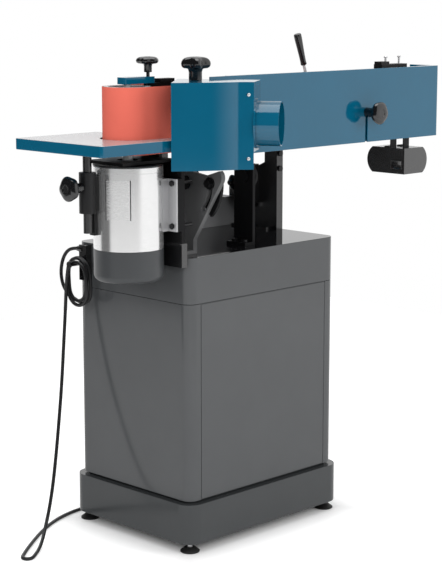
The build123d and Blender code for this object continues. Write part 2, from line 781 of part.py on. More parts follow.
# Oscillation gearbox inside the beam, with its eccentric crank behind it
gearbox_front = beam_front - 2 * beam_wall
crank_shaft_radius = 7.0
with BuildPart() as oscillation_gearbox:
    gearbox_rear = beam_rear + beam_wall
    block((-40, 40), (gearbox_rear, gearbox_front), (beam_bottom + beam_wall, crank_z + 34))
    crank_bore = crank_shaft_radius + running_fit
    lying_y(0, (gearbox_rear, beam_rear + 32), crank_z, crank_bore, Mode.SUBTRACT)

with BuildPart() as eccentric_crank:
    lying_y(0, (beam_rear - tongue_gap + 1.5, beam_rear - 1.5), crank_z, crank_throw + 2 * crank_pin_radius)
    lying_y(0, (beam_rear - 1.5, beam_rear + 31), crank_z, crank_shaft_radius)
    lying_y(crank_throw, (tongue_front - tongue_thickness - 1, beam_rear - 1.5), crank_z, crank_pin_radius)

# Drum arm and top block: the upper bearing of the drum
arm_rear = -49.0
arm_front = -29.0
arm_left = drum_x + drum_radius + 5
block_right = -352.0
arm_knob_at = (-363.0, drum_y)
arm_knob_lift = 9.0
arm_pad_x = (-333.0, -290.0)
with BuildPart() as drum_arm:
    block((arm_left, bar_left + 45), (arm_rear, arm_front), (bar_top, arm_top))
    block(arm_pad_x, (drum_y - 10, arm_front), (arm_top, arm_top + 9))
    upright(arm_knob_at, (bar_top, arm_top), stud_bore, Mode.SUBTRACT)

with BuildPart() as drum_top_block:
    block((drum_x - 20, block_right), (drum_y - 14, drum_y + 14), (arm_top, block_top))
    fillet(drum_top_block.edges().filter_by(Axis.Z), 6)
    upright(motor_axis, (arm_top, block_top), stub_radius + running_fit, Mode.SUBTRACT)
    upright(arm_knob_at, (arm_top, block_top), stud_bore, Mode.SUBTRACT)

with BuildPart(Plane((arm_knob_at[0], arm_knob_at[1], block_top + arm_knob_lift))) as arm_knob:
    lobed_knob(9, 19, 27, 16, block_top + arm_knob_lift - bar_top)

# Idler end: a forked yoke that slides in the bar's keyway, pushed by the lever's rod
yoke_left = 380.0
web_left = 484.0
web_right = 500.0
yoke_right = idler_x + 22
axle_radius = 8.0
fork_bottom = belt_bottom - 16
tracking_left = 450.0
tracking_right = 553.0
tracking_top = plate_top + 12
tracking_stud_top = tracking_top + 20
tracking_screw_x = 536.0
tracking_y = -36.0
with BuildPart() as idler_yoke:
    block((yoke_left, web_left), (bar_rear, bar_front), (bar_top + running_fit, plate_bottom))
    block((yoke_left, yoke_right), (bar_rear, bar_front), (plate_bottom, plate_top))
    block(
        (key_left + tension_travel + 3, bar_right),
        (key_rear + running_fit, key_front - running_fit),
        (bar_top - 13, bar_top + running_fit),
    )
    block((web_left, web_right), (bar_rear + 4, bar_front - 2), (fork_bottom, plate_bottom))
    block((web_left, yoke_right), (idler_y - 17, idler_y + 17), (fork_bottom, fork_bottom + 10))
    upright((idler_x, idler_y), (fork_bottom, plate_top), axle_radius)
    lying_x((lever_x + 25, yoke_left), push_rod_y, bar_top + push_rod_radius + 1, push_rod_radius)
    block((tracking_left, tracking_right), (tracking_y - 14, tracking_y + 14), (plate_top, tracking_top))
    hump_right = tracking_left + 32
    block((tracking_left, hump_right), (tracking_y - 12, tracking_y + 12), (tracking_top, tracking_top + 7))
    upright((tracking_screw_x - 55, tracking_y), (tracking_top, tracking_stud_top), 3)
    upright((tracking_screw_x, tracking_y), (plate_top, tracking_top), 4 + running_fit, Mode.SUBTRACT)

with BuildPart() as tracking_screw:
    upright((tracking_screw_x, tracking_y), (plate_top + slide_gap, tracking_top + slide_gap), 4)
    upright((tracking_screw_x, tracking_y), (tracking_top + slide_gap, tracking_stud_top), 3)
    upright((tracking_screw_x, tracking_y), (tracking_stud_top - 4, tracking_stud_top), 5)

with BuildPart() as idler_roller:
    upright((idler_x, idler_y), (belt_bottom, belt_top), idler_radius)
    upright((idler_x, idler_y), (belt_bottom, belt_top), axle_radius + running_fit, Mode.SUBTRACT)

# Tension lever: a bent-over stem between the ears, with a tapered grip
lever_way = (-sin(radians(lever_lean)), 0, cos(radians(lever_lean)))
lever_axis = Plane((lever_x, push_rod_y, lever_z), x_dir=(0, 1, 0), z_dir=lever_way)
stem_length = 41.0
with BuildPart(lever_axis) as tension_lever:
    Cylinder(4, stem_length, align=(Align.CENTER, Align.CENTER, Align.MIN))
    Cylinder(8, 8 - 2 * slide_gap, rotation=(0, 90, 0))
    Cylinder(4, 17, rotation=(0, 90, 0))

with BuildPart(lever_axis.offset(stem_length - 12)) as lever_grip:
    Cone(7.2, 9.5, lever_length - stem_length, align=(Align.CENTER, Align.CENTER, Align.MIN))
    with Locations((0, 0, lever_length - stem_length)):
        Cone(9.5, 7.5, 12, align=(Align.CENTER, Align.CENTER, Align.MIN))
    Cylinder(4, 12, align=(Align.CENTER, Align.CENTER, Align.MIN), mode=Mode.SUBTRACT)

# Rear guard: a sheet behind the belt, hooked under the beam by two tabs
tab_z = (beam_bottom - 29, beam_bottom - 24)
tab_xs = ((-150.0, -110.0), (400.0, 440.0))
guard_inner = guard_face + guard_sheet
with BuildPart() as rear_guard:
    block((guard_left, guard_right), (guard_face, guard_inner), (guard_bottom, guard_top))
    block((guard_right - guard_sheet, guard_right), (guard_face, guard_return), (guard_bottom, guard_top))
    flange_x = (guard_left + guard_flange_start, guard_right)
    block(flange_x, (guard_face, guard_inner + guard_flange), (guard_top - guard_sheet, guard_top))
    block((idler_x - 20, guard_right), (guard_face, guard_inner + 20), (guard_top - guard_sheet, guard_top))
    fillet(
        rear_guard.edges().filter_by(Axis.Z).sort_by(lambda edge: edge.center().X - edge.center().Y)[-1:],
        3 * guard_sheet,
    )
    for tab_x in tab_xs:
        block(tab_x, (guard_inner, beam_front - 20), tab_z)
        block(tab_x, (beam_front - 40, beam_front - 20), (tab_z[1], beam_bottom))
    guard_wall = (guard_face, guard_inner)
    block((guard_left, guard_left + 34), guard_wall, (guard_bottom, guard_bottom + 18), Mode.SUBTRACT)
    slot_half = guard_slot_width / 2
    slot_x = (guard_knob_x - slot_half, guard_knob_x + slot_half)
    block(slot_x, guard_wall, (guard_bottom, guard_knob_z), Mode.SUBTRACT)
    lying_y(guard_knob_x, guard_wall, guard_knob_z, slot_half, Mode.SUBTRACT)

strap_x = (guard_knob_x - 15, guard_knob_x + 15)
strap_rear = guard_inner + 5
with BuildPart() as guard_strap:
    block(strap_x, (strap_rear, beam_front - 10), tab_z)
    block(strap_x, (beam_front - 40, beam_front - 10), (tab_z[1], beam_bottom))
    block(strap_x, (strap_rear, strap_rear + 5), (tab_z[0], guard_knob_z + 18))
    lying_y(guard_knob_x, (guard_inner, strap_rear), guard_knob_z, 12)
    lying_y(guard_knob_x, (guard_inner, strap_rear + 5), guard_knob_z, stud_bore, Mode.SUBTRACT)

guard_knob_seat = (guard_knob_x, guard_face - slide_gap, guard_knob_z)
with BuildPart(Plane(guard_knob_seat, x_dir=(1, 0, 0), z_dir=(0, -1, 0))) as guard_knob:
    lobed_knob(12, 34, 29, 18, guard_sheet + 10)

# Dust hood: a folded chute from the drum to the port
join_edge = (hood_left[0] + 1.3 * sheet, hood_left[1] - 0.8 * sheet)
hood_open = (hood_far[0], hood_far[1] + 2 * sheet)
hood_mouth = (hood_join[0] + 30, hood_join[1])
port_mid = ((hood_strip_end[0] + hood_port_end[0]) / 2, (hood_strip_end[1] + hood_port_end[1]) / 2)
port_face = Vector(hood_port_end) - Vector(hood_strip_end)
port_out = Vector(port_face.Y, -port_face.X).normalized()
port_centre = (port_mid[0], port_mid[1], port_z)
port_plane = Plane(port_centre, x_dir=(port_face.X, port_face.Y, 0), z_dir=(port_out.X, port_out.Y, 0))
strip_mid = (Vector(hood_strip_start) + Vector(hood_strip_end)) / 2
strip_along = (Vector(hood_strip_end) - Vector(hood_strip_start)).normalized()
strip_out = Vector(strip_along.Y, -strip_along.X)
strip_screw_zs = (hood_bottom + 24, hood_top - 28)
strip_screw_radius = 2.5
with BuildPart() as dust_hood:
    with BuildSketch(Plane.XY.offset(hood_bottom)):
        with BuildLine():
            ThreePointArc(hood_left, hood_bulge, hood_strip_start)
            Polyline(hood_strip_start, hood_strip_end, hood_port_end, hood_far, hood_left)
        make_face()
        offset(amount=-sheet, kind=Kind.INTERSECTION, mode=Mode.SUBTRACT)
        with BuildLine():
            Polyline(hood_left, hood_open, hood_mouth, hood_join, join_edge, close=True)
        make_face(mode=Mode.SUBTRACT)
    extrude(amount=hood_top - sheet - hood_bottom)
    with BuildSketch(Plane.XY.offset(hood_top - sheet)):
        with BuildLine():
            ThreePointArc(hood_left, hood_bulge, hood_strip_start)
            Polyline(hood_strip_start, hood_strip_end, hood_port_end, hood_far, hood_left)
        make_face()
    extrude(amount=sheet)
    with BuildSketch(Plane.XY.offset(hood_bottom)):
        with BuildLine():
            Polyline(hood_strip_end, *skirt_cut, close=True)
        make_face()
    extrude(amount=hood_floor - sheet - hood_bottom, mode=Mode.SUBTRACT)
    with BuildSketch(Plane.XY.offset(hood_floor - sheet)):
        with BuildLine():
            Polyline(
                (hood_bulge[0] + 6, hood_bulge[1] + 8),
                hood_strip_start,
                hood_strip_end,
                hood_port_end,
                (hood_port_end[0] - 9, hood_port_end[1] + 15),
                close=True,
            )
        make_face()
    extrude(amount=sheet)
    block(
        (hood_join[0] - 1, hood_join[0] + 48),
        (guard_inner, guard_inner + sheet),
        (hood_floor - sheet, hood_top - sheet),
    )
    with BuildSketch(port_plane.offset(-2 * sheet)):
        Circle(port_radius - port_wall)
    extrude(amount=4 * sheet, mode=Mode.SUBTRACT)
    upright(hood_knob_at, (hood_top - sheet, hood_top), stud_bore, Mode.SUBTRACT)
    for screw_z in strip_screw_zs:
        with BuildSketch(Plane((strip_mid.X, strip_mid.Y, screw_z), z_dir=(strip_out.X, strip_out.Y, 0))):
            Circle(strip_screw_radius)
        extrude(amount=2 * sheet, both=True, mode=Mode.SUBTRACT)

with BuildPart() as dust_port:
    with BuildSketch(port_plane):
        Circle(port_radius + 6)
        Circle(port_radius - port_wall, mode=Mode.SUBTRACT)
    extrude(amount=port_wall)
    with BuildSketch(port_plane):
        Circle(port_radius)
        Circle(port_radius - port_wall, mode=Mode.SUBTRACT)
    extrude(amount=port_length)

with BuildPart(Plane((hood_knob_at[0], hood_knob_at[1], hood_top + slide_gap))) as hood_knob:
    lobed_knob(15, 26, 35, 26, 18)

with BuildPart() as head_screws:
    for screw_z in strip_screw_zs:
        with BuildSketch(Plane((strip_mid.X, strip_mid.Y, screw_z), z_dir=(strip_out.X, strip_out.Y, 0))):
            Circle(2 * strip_screw_radius)
        extrude(amount=3)
        with BuildSketch(Plane((strip_mid.X, strip_mid.Y, screw_z), z_dir=(strip_out.X, strip_out.Y, 0))):
            Circle(strip_screw_radius)
        extrude(amount=-3 * sheet)
    for bolt_y in bolt_ys:
        for bolt_z in motor_bolt_zs:
            lying_x((pad_face_x, mount_face + motor_bolt_tail), bolt_y, bolt_z, motor_bolt_radius)
            lying_x((pad_face_x - 5, pad_face_x), bolt_y, bolt_z, motor_bolt_head)
            lying_x((mount_face, mount_face + 6), bolt_y, bolt_z, motor_bolt_head)

# Small table round the drum, on a clamped post
with BuildPart() as small_table:
    table_y = (small_table_rear, small_table_front)
    block((small_table_left, small_table_right), table_y, (table_bottom, table_top))
    fillet(small_table.edges().filter_by(Axis.Z), 8)
    drum_clearance = drum_radius + belt_gap + belt_thickness + 6
    upright(motor_axis, (table_bottom, table_top), drum_clearance, Mode.SUBTRACT)
    block(
        (drum_x, small_table_right),
        (drum_y - drum_clearance, drum_y + drum_clearance),
        (table_bottom, table_top),
        Mode.SUBTRACT,
    )

with BuildPart() as small_table_post:
    upright((small_post_x, small_post_y), (small_post_bottom, table_bottom), small_post_radius)
    upright((small_post_x, small_post_y), (table_bottom - 6, table_bottom), 2.6 * small_post_radius)

clamp_knob_z = clamp_top - 33
with BuildPart() as post_clamp:
    upright((small_post_x, small_post_y), (clamp_bottom, clamp_top), clamp_radius)
    block((small_post_x, drum_x), (small_post_y - 15, small_post_y + 15), (clamp_bottom + 6, clamp_top - 8))
    block((clamp_foot_x, drum_x), (small_post_y - 8, small_post_y + 8), (clamp_foot_z, clamp_bottom + 6))
    upright(motor_axis, (clamp_foot_z, clamp_top), motor_radius, Mode.SUBTRACT)
    clamp_bore = small_post_radius + running_fit
    upright((small_post_x, small_post_y), (clamp_bottom, clamp_top), clamp_bore, Mode.SUBTRACT)
    lying_x((small_post_x - clamp_radius, small_post_x), small_post_y, clamp_knob_z, stud_bore, Mode.SUBTRACT)

clamp_knob_seat = (small_post_x - clamp_radius - slide_gap, small_post_y, clamp_knob_z)
with BuildPart(Plane(clamp_knob_seat, x_dir=(0, 1, 0), z_dir=(-1, 0, 0))) as small_table_knob:
    lobed_knob(11, 24, 29, 21, clamp_radius - small_post_radius)

# Switch box slung under the guard, with two push buttons at the front
switch_right = switch_left + switch_width
switch_front = switch_rear + switch_depth
switch_top = switch_bottom + switch_height
button_z = switch_bottom + switch_height / 2
hanger_xs = (switch_left, switch_left + 52)
button_seat = switch_front - switch_wall - 4
with BuildPart() as switch_box:
    for inset in (0, switch_wall):
        low, high = switch_bottom + inset, switch_top - inset
        with BuildPart(mode=Mode.ADD if inset == 0 else Mode.SUBTRACT):
            with BuildSketch(Plane.XZ.offset(-switch_front + inset)):
                with BuildLine():
                    Polyline(
                        (switch_right - switch_bulge - inset, low),
                        (switch_left + inset, low),
                        (switch_left + inset, high),
                        (switch_right - switch_bulge - inset, high),
                    )
                    ThreePointArc(
                        (switch_right - switch_bulge - inset, high),
                        (switch_right - inset, button_z),
                        (switch_right - switch_bulge - inset, low),
                    )
                make_face()
            extrude(amount=switch_depth - 2 * inset)
            with BuildSketch(Plane.YZ.offset(switch_left)):
                with BuildLine():
                    Polyline(
                        (switch_front - switch_bulge - inset, low),
                        (switch_rear, low),
                        (switch_rear, high),
                        (switch_front - switch_bulge - inset, high),
                    )
                    ThreePointArc(
                        (switch_front - switch_bulge - inset, high),
                        (switch_front - inset, button_z),
                        (switch_front - switch_bulge - inset, low),
                    )
                make_face()
            extrude(amount=switch_width, mode=Mode.INTERSECT)
    button_hole = button_radius + slide_gap
    for button_x in button_xs:
        lying_y(button_x, (button_seat, switch_front), button_z, button_hole, Mode.SUBTRACT)
    for hanger_x in hanger_xs:
        strap = (hanger_x, hanger_x + hanger_width)
        block(strap, (hanger_y, hanger_y + 3), (switch_top, hanger_top))
        block(strap, (guard_inner, hanger_y + 3), (hanger_top - 4, hanger_top))
        block(strap, (hanger_y, hanger_y + 22), (switch_top, switch_top + 3))

button_back = button_seat - 6
button_collar = (button_back, button_seat - slide_gap)
with BuildPart() as start_button:
    lying_y(button_xs[0], (button_back, switch_front + 6), button_z, button_radius)
    lying_y(button_xs[0], button_collar, button_z, button_radius + 3)

with BuildPart() as stop_button:
    lying_y(button_xs[1], (button_back, switch_front + 6), button_z, button_radius)
    lying_y(button_xs[1], button_collar, button_z, button_radius + 3)

# Cord hook on the cap's left side: block, gland and a peg with a stop
gland_z = hook_z + hook_size[2] - 11
gland_x = cabinet_left - hook_size[0] / 2 - 3
hook_front = hook_y + hook_size[1]
gland_start = hook_front - gland_sink
peg_y = hook_front - 10
peg_z = hank_bottom + hank_straight + 2 * hank_bend + cord_radius - peg_drop
hank_width = hank_turns * 2.15 * cord_radius
with BuildPart() as cord_hook:
    block(
        (cabinet_left - hook_size[0], cabinet_left),
        (hook_y, hook_front),
        (hook_z, hook_z + hook_size[2]),
    )
    with Locations((gland_x, gland_start + gland_length / 2, gland_z)):
        Cone(9, 6, gland_length, rotation=(-90, 0, 0))
    lying_x((hank_x - hank_width - 4, cabinet_left - hook_size[0]), peg_y, peg_z, 5)
    lying_x((hank_x - hank_width - 8, hank_x - hank_width - 4), peg_y, peg_z, 8)

# Mains cord: one run from the gland to the hank, one from the hank over the floor to the coil
upper_route = [
    (gland_x, gland_start + gland_length, gland_z),
    (-340.0, 264.0, 684.5),
    (-343.0, 281.0, 674.0),
    (-346.0, 291.5, 655.0),
    (-349.0, 295.0, 632.0),
    (-351.0, 292.0, 609.0),
    (-353.0, 281.0, 588.0),
    (-354.5, 261.0, 573.0),
    (-355.0, 237.0, 564.9),
]
lower_route = [
    (-372.0, 249.0, 592.0),
    (-374.0, 249.5, 552.0),
    (-379.0, 248.0, 506.0),
    (-387.0, 244.0, 452.0),
    (-396.0, 239.0, 394.0),
    (-407.0, 233.0, 335.0),
    (-420.0, 226.0, 277.0),
    (-434.0, 218.0, 221.0),
    (-449.0, 209.5, 167.0),
    (-465.0, 201.0, 117.0),
    (-482.0, 193.0, 73.0),
    (-505.0, 180.0, 37.0),
    (-533.0, 158.0, 14.0),
    (-561.0, 132.0, 5.5),
    (-585.0, 105.0, 4.6),
    (-606.0, 91.0, 4.6),
    (-624.0, 98.0, 4.6),
    (-627.0, 117.0, 4.6),
    (-611.0, 141.0, 4.6),
    (-578.0, 171.0, 4.6),
    (-534.0, 203.0, 4.6),
    (-483.0, 236.0, 4.6),
    (-430.0, 263.0, 4.6),
    (-376.0, 285.0, 4.6),
    (-322.0, 300.0, 4.6),
    (-268.0, 304.0, 4.6),
    (-216.0, 297.0, 4.6),
    (-170.0, 286.0, 4.6),
    (coil_at[0], coil_at[1] - coil_radius, 4.6),
]
with BuildPart() as mains_cord:
    for route in (upper_route, lower_route):
        radii = round_corners(route)
        with BuildLine() as cord_path:
            FilletPolyline(*route, radius=radii)
        with BuildSketch(Plane(cord_path.line @ 0, z_dir=cord_path.line % 0)):
            Circle(cord_radius)
        sweep(path=cord_path.line)
        print("cord run length", round(sum(edge.length for edge in cord_path.edges()), 1))
    print("cord volume", round(mains_cord.part.volume))

with BuildPart() as cord_hank:
    with BuildSketch(Plane.YZ.offset(hank_x - hank_width)):
        hank_mid = (hank_y, hank_bottom + cord_radius + hank_bend + hank_straight / 2)
        with Locations(hank_mid):
            SlotCenterToCenter(hank_straight, 2 * (hank_bend + cord_radius), rotation=90)
            SlotCenterToCenter(hank_straight, 2 * (hank_bend - cord_radius), rotation=90, mode=Mode.SUBTRACT)
    extrude(amount=hank_width)

with BuildPart() as cord_coil:
    with BuildSketch(Plane.XZ.offset(-coil_at[1])):
        with Locations((coil_at[0] + coil_radius, 2 * cord_radius)):
            Rectangle(4 * cord_radius, 4 * cord_radius)
    revolve(axis=Axis((coil_at[0], coil_at[1], 0), (0, 0, 1)))

# Plug beside the coil, its tapered relief against the outer turn
plug_y = coil_at[1] + coil_radius
plug_back = coil_at[0] - 40
with BuildPart() as mains_plug:
    lying_x((plug_back - 42, plug_back), plug_y, plug_radius, plug_radius)
    with Locations((plug_back + 12, plug_y, plug_radius)):
        Cone(0.6 * plug_radius, 1.6 * cord_radius, 24, rotation=(0, 90, 0))
    for pin_side in (-1, 1):
        lying_x((plug_back - 61, plug_back - 42), plug_y + pin_side * 9.5, plug_radius, 2.4)

pieces = {
    "cabinet_shell": cabinet_shell,
    "cabinet_cap": cabinet_cap,
    "plinth": plinth,
    "access_panel": access_panel,
    "foot_pads": foot_pads,
    "foot_studs": foot_studs,
    "tilt_quadrant": tilt_quadrant,
    "trunnion_plate": trunnion_plate,
    "table_columns": table_columns,
    "cross_channel": cross_channel,
    "table_sleeves": table_sleeves,
    "frame_bolts": frame_bolts,
    "cord_hook": cord_hook,
    "mains_cord": mains_cord,
    "cord_hank": cord_hank,
    "cord_coil": cord_coil,
    "mains_plug": mains_plug,
    "head_beam": head_beam,
    "guide_rods": guide_rods,
    "platen": platen,
    "graphite_pad": graphite_pad,
    "tilt_lugs": tilt_lugs,
    "tilt_lock_nut": tilt_lock_nut,
    "motor_mount_plate": motor_mount_plate,
    "motor_body": motor_body,
    "motor_end_shield": motor_end_shield,
    "motor_feet": motor_feet,
    "fan_cover": fan_cover,
    "motor_shaft": motor_shaft,
    "drive_drum": drive_drum,
    "drum_sleeve": drum_sleeve,
    "sanding_belt": sanding_belt,
    "carriage_bar": carriage_bar,
    "oscillation_gearbox": oscillation_gearbox,
    "eccentric_crank": eccentric_crank,
    "drum_arm": drum_arm,
    "drum_top_block": drum_top_block,
    "arm_knob": arm_knob,
    "idler_yoke": idler_yoke,
    "tracking_screw": tracking_screw,
    "idler_roller": idler_roller,
    "tension_lever": tension_lever,
    "lever_grip": lever_grip,
    "rear_guard": rear_guard,
    "guard_strap": guard_strap,
    "guard_knob": guard_knob,
    "dust_hood": dust_hood,
    "dust_port": dust_port,
    "hood_knob": hood_knob,
    "head_screws": head_screws,
    "small_table": small_table,
    "small_table_post": small_table_post,
    "post_clamp": post_clamp,
    "small_table_knob": small_table_knob,
    "main_table": main_table,
    "main_table_posts": main_table_posts,
    "main_table_knob": main_table_knob,
    "switch_box": switch_box,
    "start_button": start_button,
    "stop_button": stop_button,
}
for label, piece in pieces.items():
    piece.part.label = label
    export_step(piece.part, f"parts/{label}.step")
print(len(pieces), "pieces written")
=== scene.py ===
import json
from math import atan2, cos, pi, radians, sin

import bmesh
import bpy
from mathutils import Matrix, Vector

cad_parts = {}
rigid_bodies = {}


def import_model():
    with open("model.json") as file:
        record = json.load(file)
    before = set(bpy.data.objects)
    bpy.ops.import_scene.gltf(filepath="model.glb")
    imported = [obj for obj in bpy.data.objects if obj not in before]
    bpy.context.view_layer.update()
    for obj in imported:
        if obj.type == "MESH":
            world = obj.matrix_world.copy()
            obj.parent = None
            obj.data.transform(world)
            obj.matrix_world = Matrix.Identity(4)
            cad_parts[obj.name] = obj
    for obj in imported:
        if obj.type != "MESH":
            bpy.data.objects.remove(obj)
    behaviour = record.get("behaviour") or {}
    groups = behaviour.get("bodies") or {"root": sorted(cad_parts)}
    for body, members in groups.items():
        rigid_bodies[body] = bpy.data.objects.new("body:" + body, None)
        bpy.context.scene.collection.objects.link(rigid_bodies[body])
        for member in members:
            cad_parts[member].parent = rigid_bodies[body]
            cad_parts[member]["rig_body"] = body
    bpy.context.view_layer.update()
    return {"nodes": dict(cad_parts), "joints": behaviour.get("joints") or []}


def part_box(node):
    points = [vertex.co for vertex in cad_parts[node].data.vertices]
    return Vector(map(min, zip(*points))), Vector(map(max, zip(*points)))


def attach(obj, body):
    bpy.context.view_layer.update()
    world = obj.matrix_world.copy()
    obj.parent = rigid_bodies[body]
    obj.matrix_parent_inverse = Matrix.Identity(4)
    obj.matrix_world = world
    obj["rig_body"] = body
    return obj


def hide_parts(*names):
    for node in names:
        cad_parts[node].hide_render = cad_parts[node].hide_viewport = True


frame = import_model()
nodes = frame["nodes"]
scene = bpy.context.scene
scene.view_settings.view_transform = "Standard"
print("frame loaded:", len(nodes), "nodes")

mm = 0.001
weldReach = 0.01 * mm  # points nearer than this are one

# Camera, off the rear corner at the drum end
photoView = {
    "position": (-2.8690, -2.7723, 1.2942),
    "heading": 44.936,  # degrees from +X towards +Y
    "down": 10.066,  # degrees below level
    "lens": 103.75,
    "sensor": 36.0,
}


def placeCamera(view):
    lensData = bpy.data.cameras.new("photoCamera")
    lensData.lens = view["lens"]
    lensData.sensor_width = view["sensor"]
    camera = bpy.data.objects.new("photoCamera", lensData)
    camera.location = view["position"]
    camera.rotation_euler = (radians(90 - view["down"]), 0, radians(view["heading"] - 90))
    scene.collection.objects.link(camera)
    scene.camera = camera


placeCamera(photoView)
print("camera placed")


# Node groups that several finishes share
def newGroup(name, inputs, outputs):
    group = bpy.data.node_groups.new(name, "ShaderNodeTree")
    for label, kind, default in inputs:
        socket = group.interface.new_socket(label, in_out="INPUT", socket_type=kind)
        socket.default_value = default
    for label, kind in outputs:
        group.interface.new_socket(label, in_out="OUTPUT", socket_type=kind)
    entry = group.nodes.new("NodeGroupInput")
    leave = group.nodes.new("NodeGroupOutput")
    return group, entry, leave


def addNode(tree, kind, **values):
    node = tree.nodes.new(kind)
    for label, value in values.items():
        setattr(node, label, value)
    return node


def scaledNoise(tree, place, scaleSocket, detail, rough):
    noise = addNode(tree, "ShaderNodeTexNoise")
    noise.inputs["Detail"].default_value = detail
    noise.inputs["Roughness"].default_value = rough
    tree.links.new(place, noise.inputs["Vector"])
    tree.links.new(scaleSocket, noise.inputs["Scale"])
    return noise.outputs["Fac"]


def makePeelGroup():  # fine orange peel of sprayed paint, with a slow change of tone
    inputs = [("Peel Scale", "NodeSocketFloat", 900.0), ("Tone Scale", "NodeSocketFloat", 6.0)]
    outputs = [("Height", "NodeSocketFloat"), ("Tone", "NodeSocketFloat")]
    group, entry, leave = newGroup("orangePeel", inputs, outputs)
    place = addNode(group, "ShaderNodeTexCoord").outputs["Object"]
    height = scaledNoise(group, place, entry.outputs["Peel Scale"], detail=2.0, rough=0.55)
    tone = scaledNoise(group, place, entry.outputs["Tone Scale"], detail=4.0, rough=0.6)
    group.links.new(height, leave.inputs["Height"])
    group.links.new(tone, leave.inputs["Tone"])
    return group


streakRange = (0.3, 0.7)  # noise between these goes from a dark streak to a bright one


def makeGrainGroup():  # lines left by a grinding wheel or a lathe, stretched along one way
    inputs = [("Stretch", "NodeSocketVector", (1.0, 1.0, 1.0)), ("Line Scale", "NodeSocketFloat", 500.0)]
    outputs = [("Height", "NodeSocketFloat"), ("Streak", "NodeSocketFloat")]
    group, entry, leave = newGroup("grindingLines", inputs, outputs)
    place = addNode(group, "ShaderNodeTexCoord").outputs["Object"]
    stretch = addNode(group, "ShaderNodeVectorMath", operation="MULTIPLY")
    group.links.new(place, stretch.inputs[0])
    group.links.new(entry.outputs["Stretch"], stretch.inputs[1])
    lines = scaledNoise(group, stretch.outputs["Vector"], entry.outputs["Line Scale"], detail=3.0, rough=0.7)
    contrast = addNode(group, "ShaderNodeMapRange")
    contrast.inputs["From Min"].default_value = streakRange[0]
    contrast.inputs["From Max"].default_value = streakRange[1]
    group.links.new(lines, contrast.inputs["Value"])
    group.links.new(lines, leave.inputs["Height"])
    group.links.new(contrast.outputs["Result"], leave.inputs["Streak"])
    return group


def makeLevelGroup():  # one above a height, as the piece stands at rest, and nought below it
    inputs = [("Level", "NodeSocketFloat", 1.0), ("Fade", "NodeSocketFloat", 0.0004)]
    group, entry, leave = newGroup("aboveLevel", inputs, [("Above", "NodeSocketFloat")])
    place = addNode(group, "ShaderNodeTexCoord").outputs["Object"]
    split = addNode(group, "ShaderNodeSeparateXYZ")
    group.links.new(place, split.inputs["Vector"])
    rise = addNode(group, "ShaderNodeMath", operation="SUBTRACT")
    group.links.new(split.outputs["Z"], rise.inputs[0])
    group.links.new(entry.outputs["Level"], rise.inputs[1])
    share = addNode(group, "ShaderNodeMath", operation="DIVIDE", use_clamp=True)
    group.links.new(rise.outputs["Value"], share.inputs[0])
    group.links.new(entry.outputs["Fade"], share.inputs[1])
    group.links.new(share.outputs["Value"], leave.inputs["Above"])
    return group


def makeEdgeHighlightGroup():  # paler arrises, a painted highlight, from the difference between the true and the rounded normal
    inputs = [("Width", "NodeSocketFloat", 0.001), ("Gain", "NodeSocketFloat", 6.0)]
    group, entry, leave = newGroup("paintedEdgeHighlight", inputs, [("Edge", "NodeSocketFloat")])
    rounded = addNode(group, "ShaderNodeBevel", samples=4)
    group.links.new(entry.outputs["Width"], rounded.inputs["Radius"])
    true = addNode(group, "ShaderNodeNewGeometry").outputs["Normal"]
    likeness = addNode(group, "ShaderNodeVectorMath", operation="DOT_PRODUCT")
    group.links.new(rounded.outputs["Normal"], likeness.inputs[0])
    group.links.new(true, likeness.inputs[1])
    turn = addNode(group, "ShaderNodeMath", operation="SUBTRACT", use_clamp=True)
    turn.inputs[0].default_value = 1.0
    group.links.new(likeness.outputs["Value"], turn.inputs[1])
    gain = addNode(group, "ShaderNodeMath", operation="MULTIPLY", use_clamp=True)
    group.links.new(turn.outputs["Value"], gain.inputs[0])
    group.links.new(entry.outputs["Gain"], gain.inputs[1])
    group.links.new(gain.outputs["Value"], leave.inputs["Edge"])
    return group


peelGroup = makePeelGroup()
grainGroup = makeGrainGroup()
levelGroup = makeLevelGroup()
edgeHighlightGroup = makeEdgeHighlightGroup()


# Building blocks of a finish
def newMaterial(name):
    material = bpy.data.materials.new(name)
    material.use_nodes = True
    tree = material.node_tree
    return material, tree, tree.nodes["Principled BSDF"]


def placeGroup(tree, group, **values):
    node = tree.nodes.new("ShaderNodeGroup")
    node.node_tree = group
    for label, value in values.items():
        node.inputs[label].default_value = value
    return node


def placePeel(tree, peelScale, toneScale):
    return placeGroup(tree, peelGroup, **{"Peel Scale": peelScale, "Tone Scale": toneScale})


def placeGrain(tree, finish):
    return placeGroup(tree, grainGroup, **{"Stretch": finish["stretch"], "Line Scale": finish["lineScale"]})


def mixColours(tree, factor, first, second):
    mix = addNode(tree, "ShaderNodeMix", data_type="RGBA")
    colourInputs = [socket for socket in mix.inputs if socket.type == "RGBA"]
    colourOutput = [socket for socket in mix.outputs if socket.type == "RGBA"][0]
    factorInput = [socket for socket in mix.inputs if socket.type == "VALUE"][0]
    tree.links.new(factor, factorInput)
    for socket, source in zip(colourInputs, (first, second)):
        if isinstance(source, tuple):
            socket.default_value = (*source, 1.0)
        else:
            tree.links.new(source, socket)
    return colourOutput


def rangeOf(tree, factor, low, high):
    spread = addNode(tree, "ShaderNodeMapRange")
    spread.inputs["To Min"].default_value = low
    spread.inputs["To Max"].default_value = high
    tree.links.new(factor, spread.inputs["Value"])
    return spread.outputs["Result"]


def raiseSurface(tree, shader, height, depth, strength=1.0):
    bump = addNode(tree, "ShaderNodeBump")
    bump.inputs["Distance"].default_value = depth
    bump.inputs["Strength"].default_value = strength
    tree.links.new(height, bump.inputs["Height"])
    tree.links.new(bump.outputs["Normal"], shader.inputs["Normal"])


def scaledColour(colour, share):
    return tuple(value * share for value in colour)


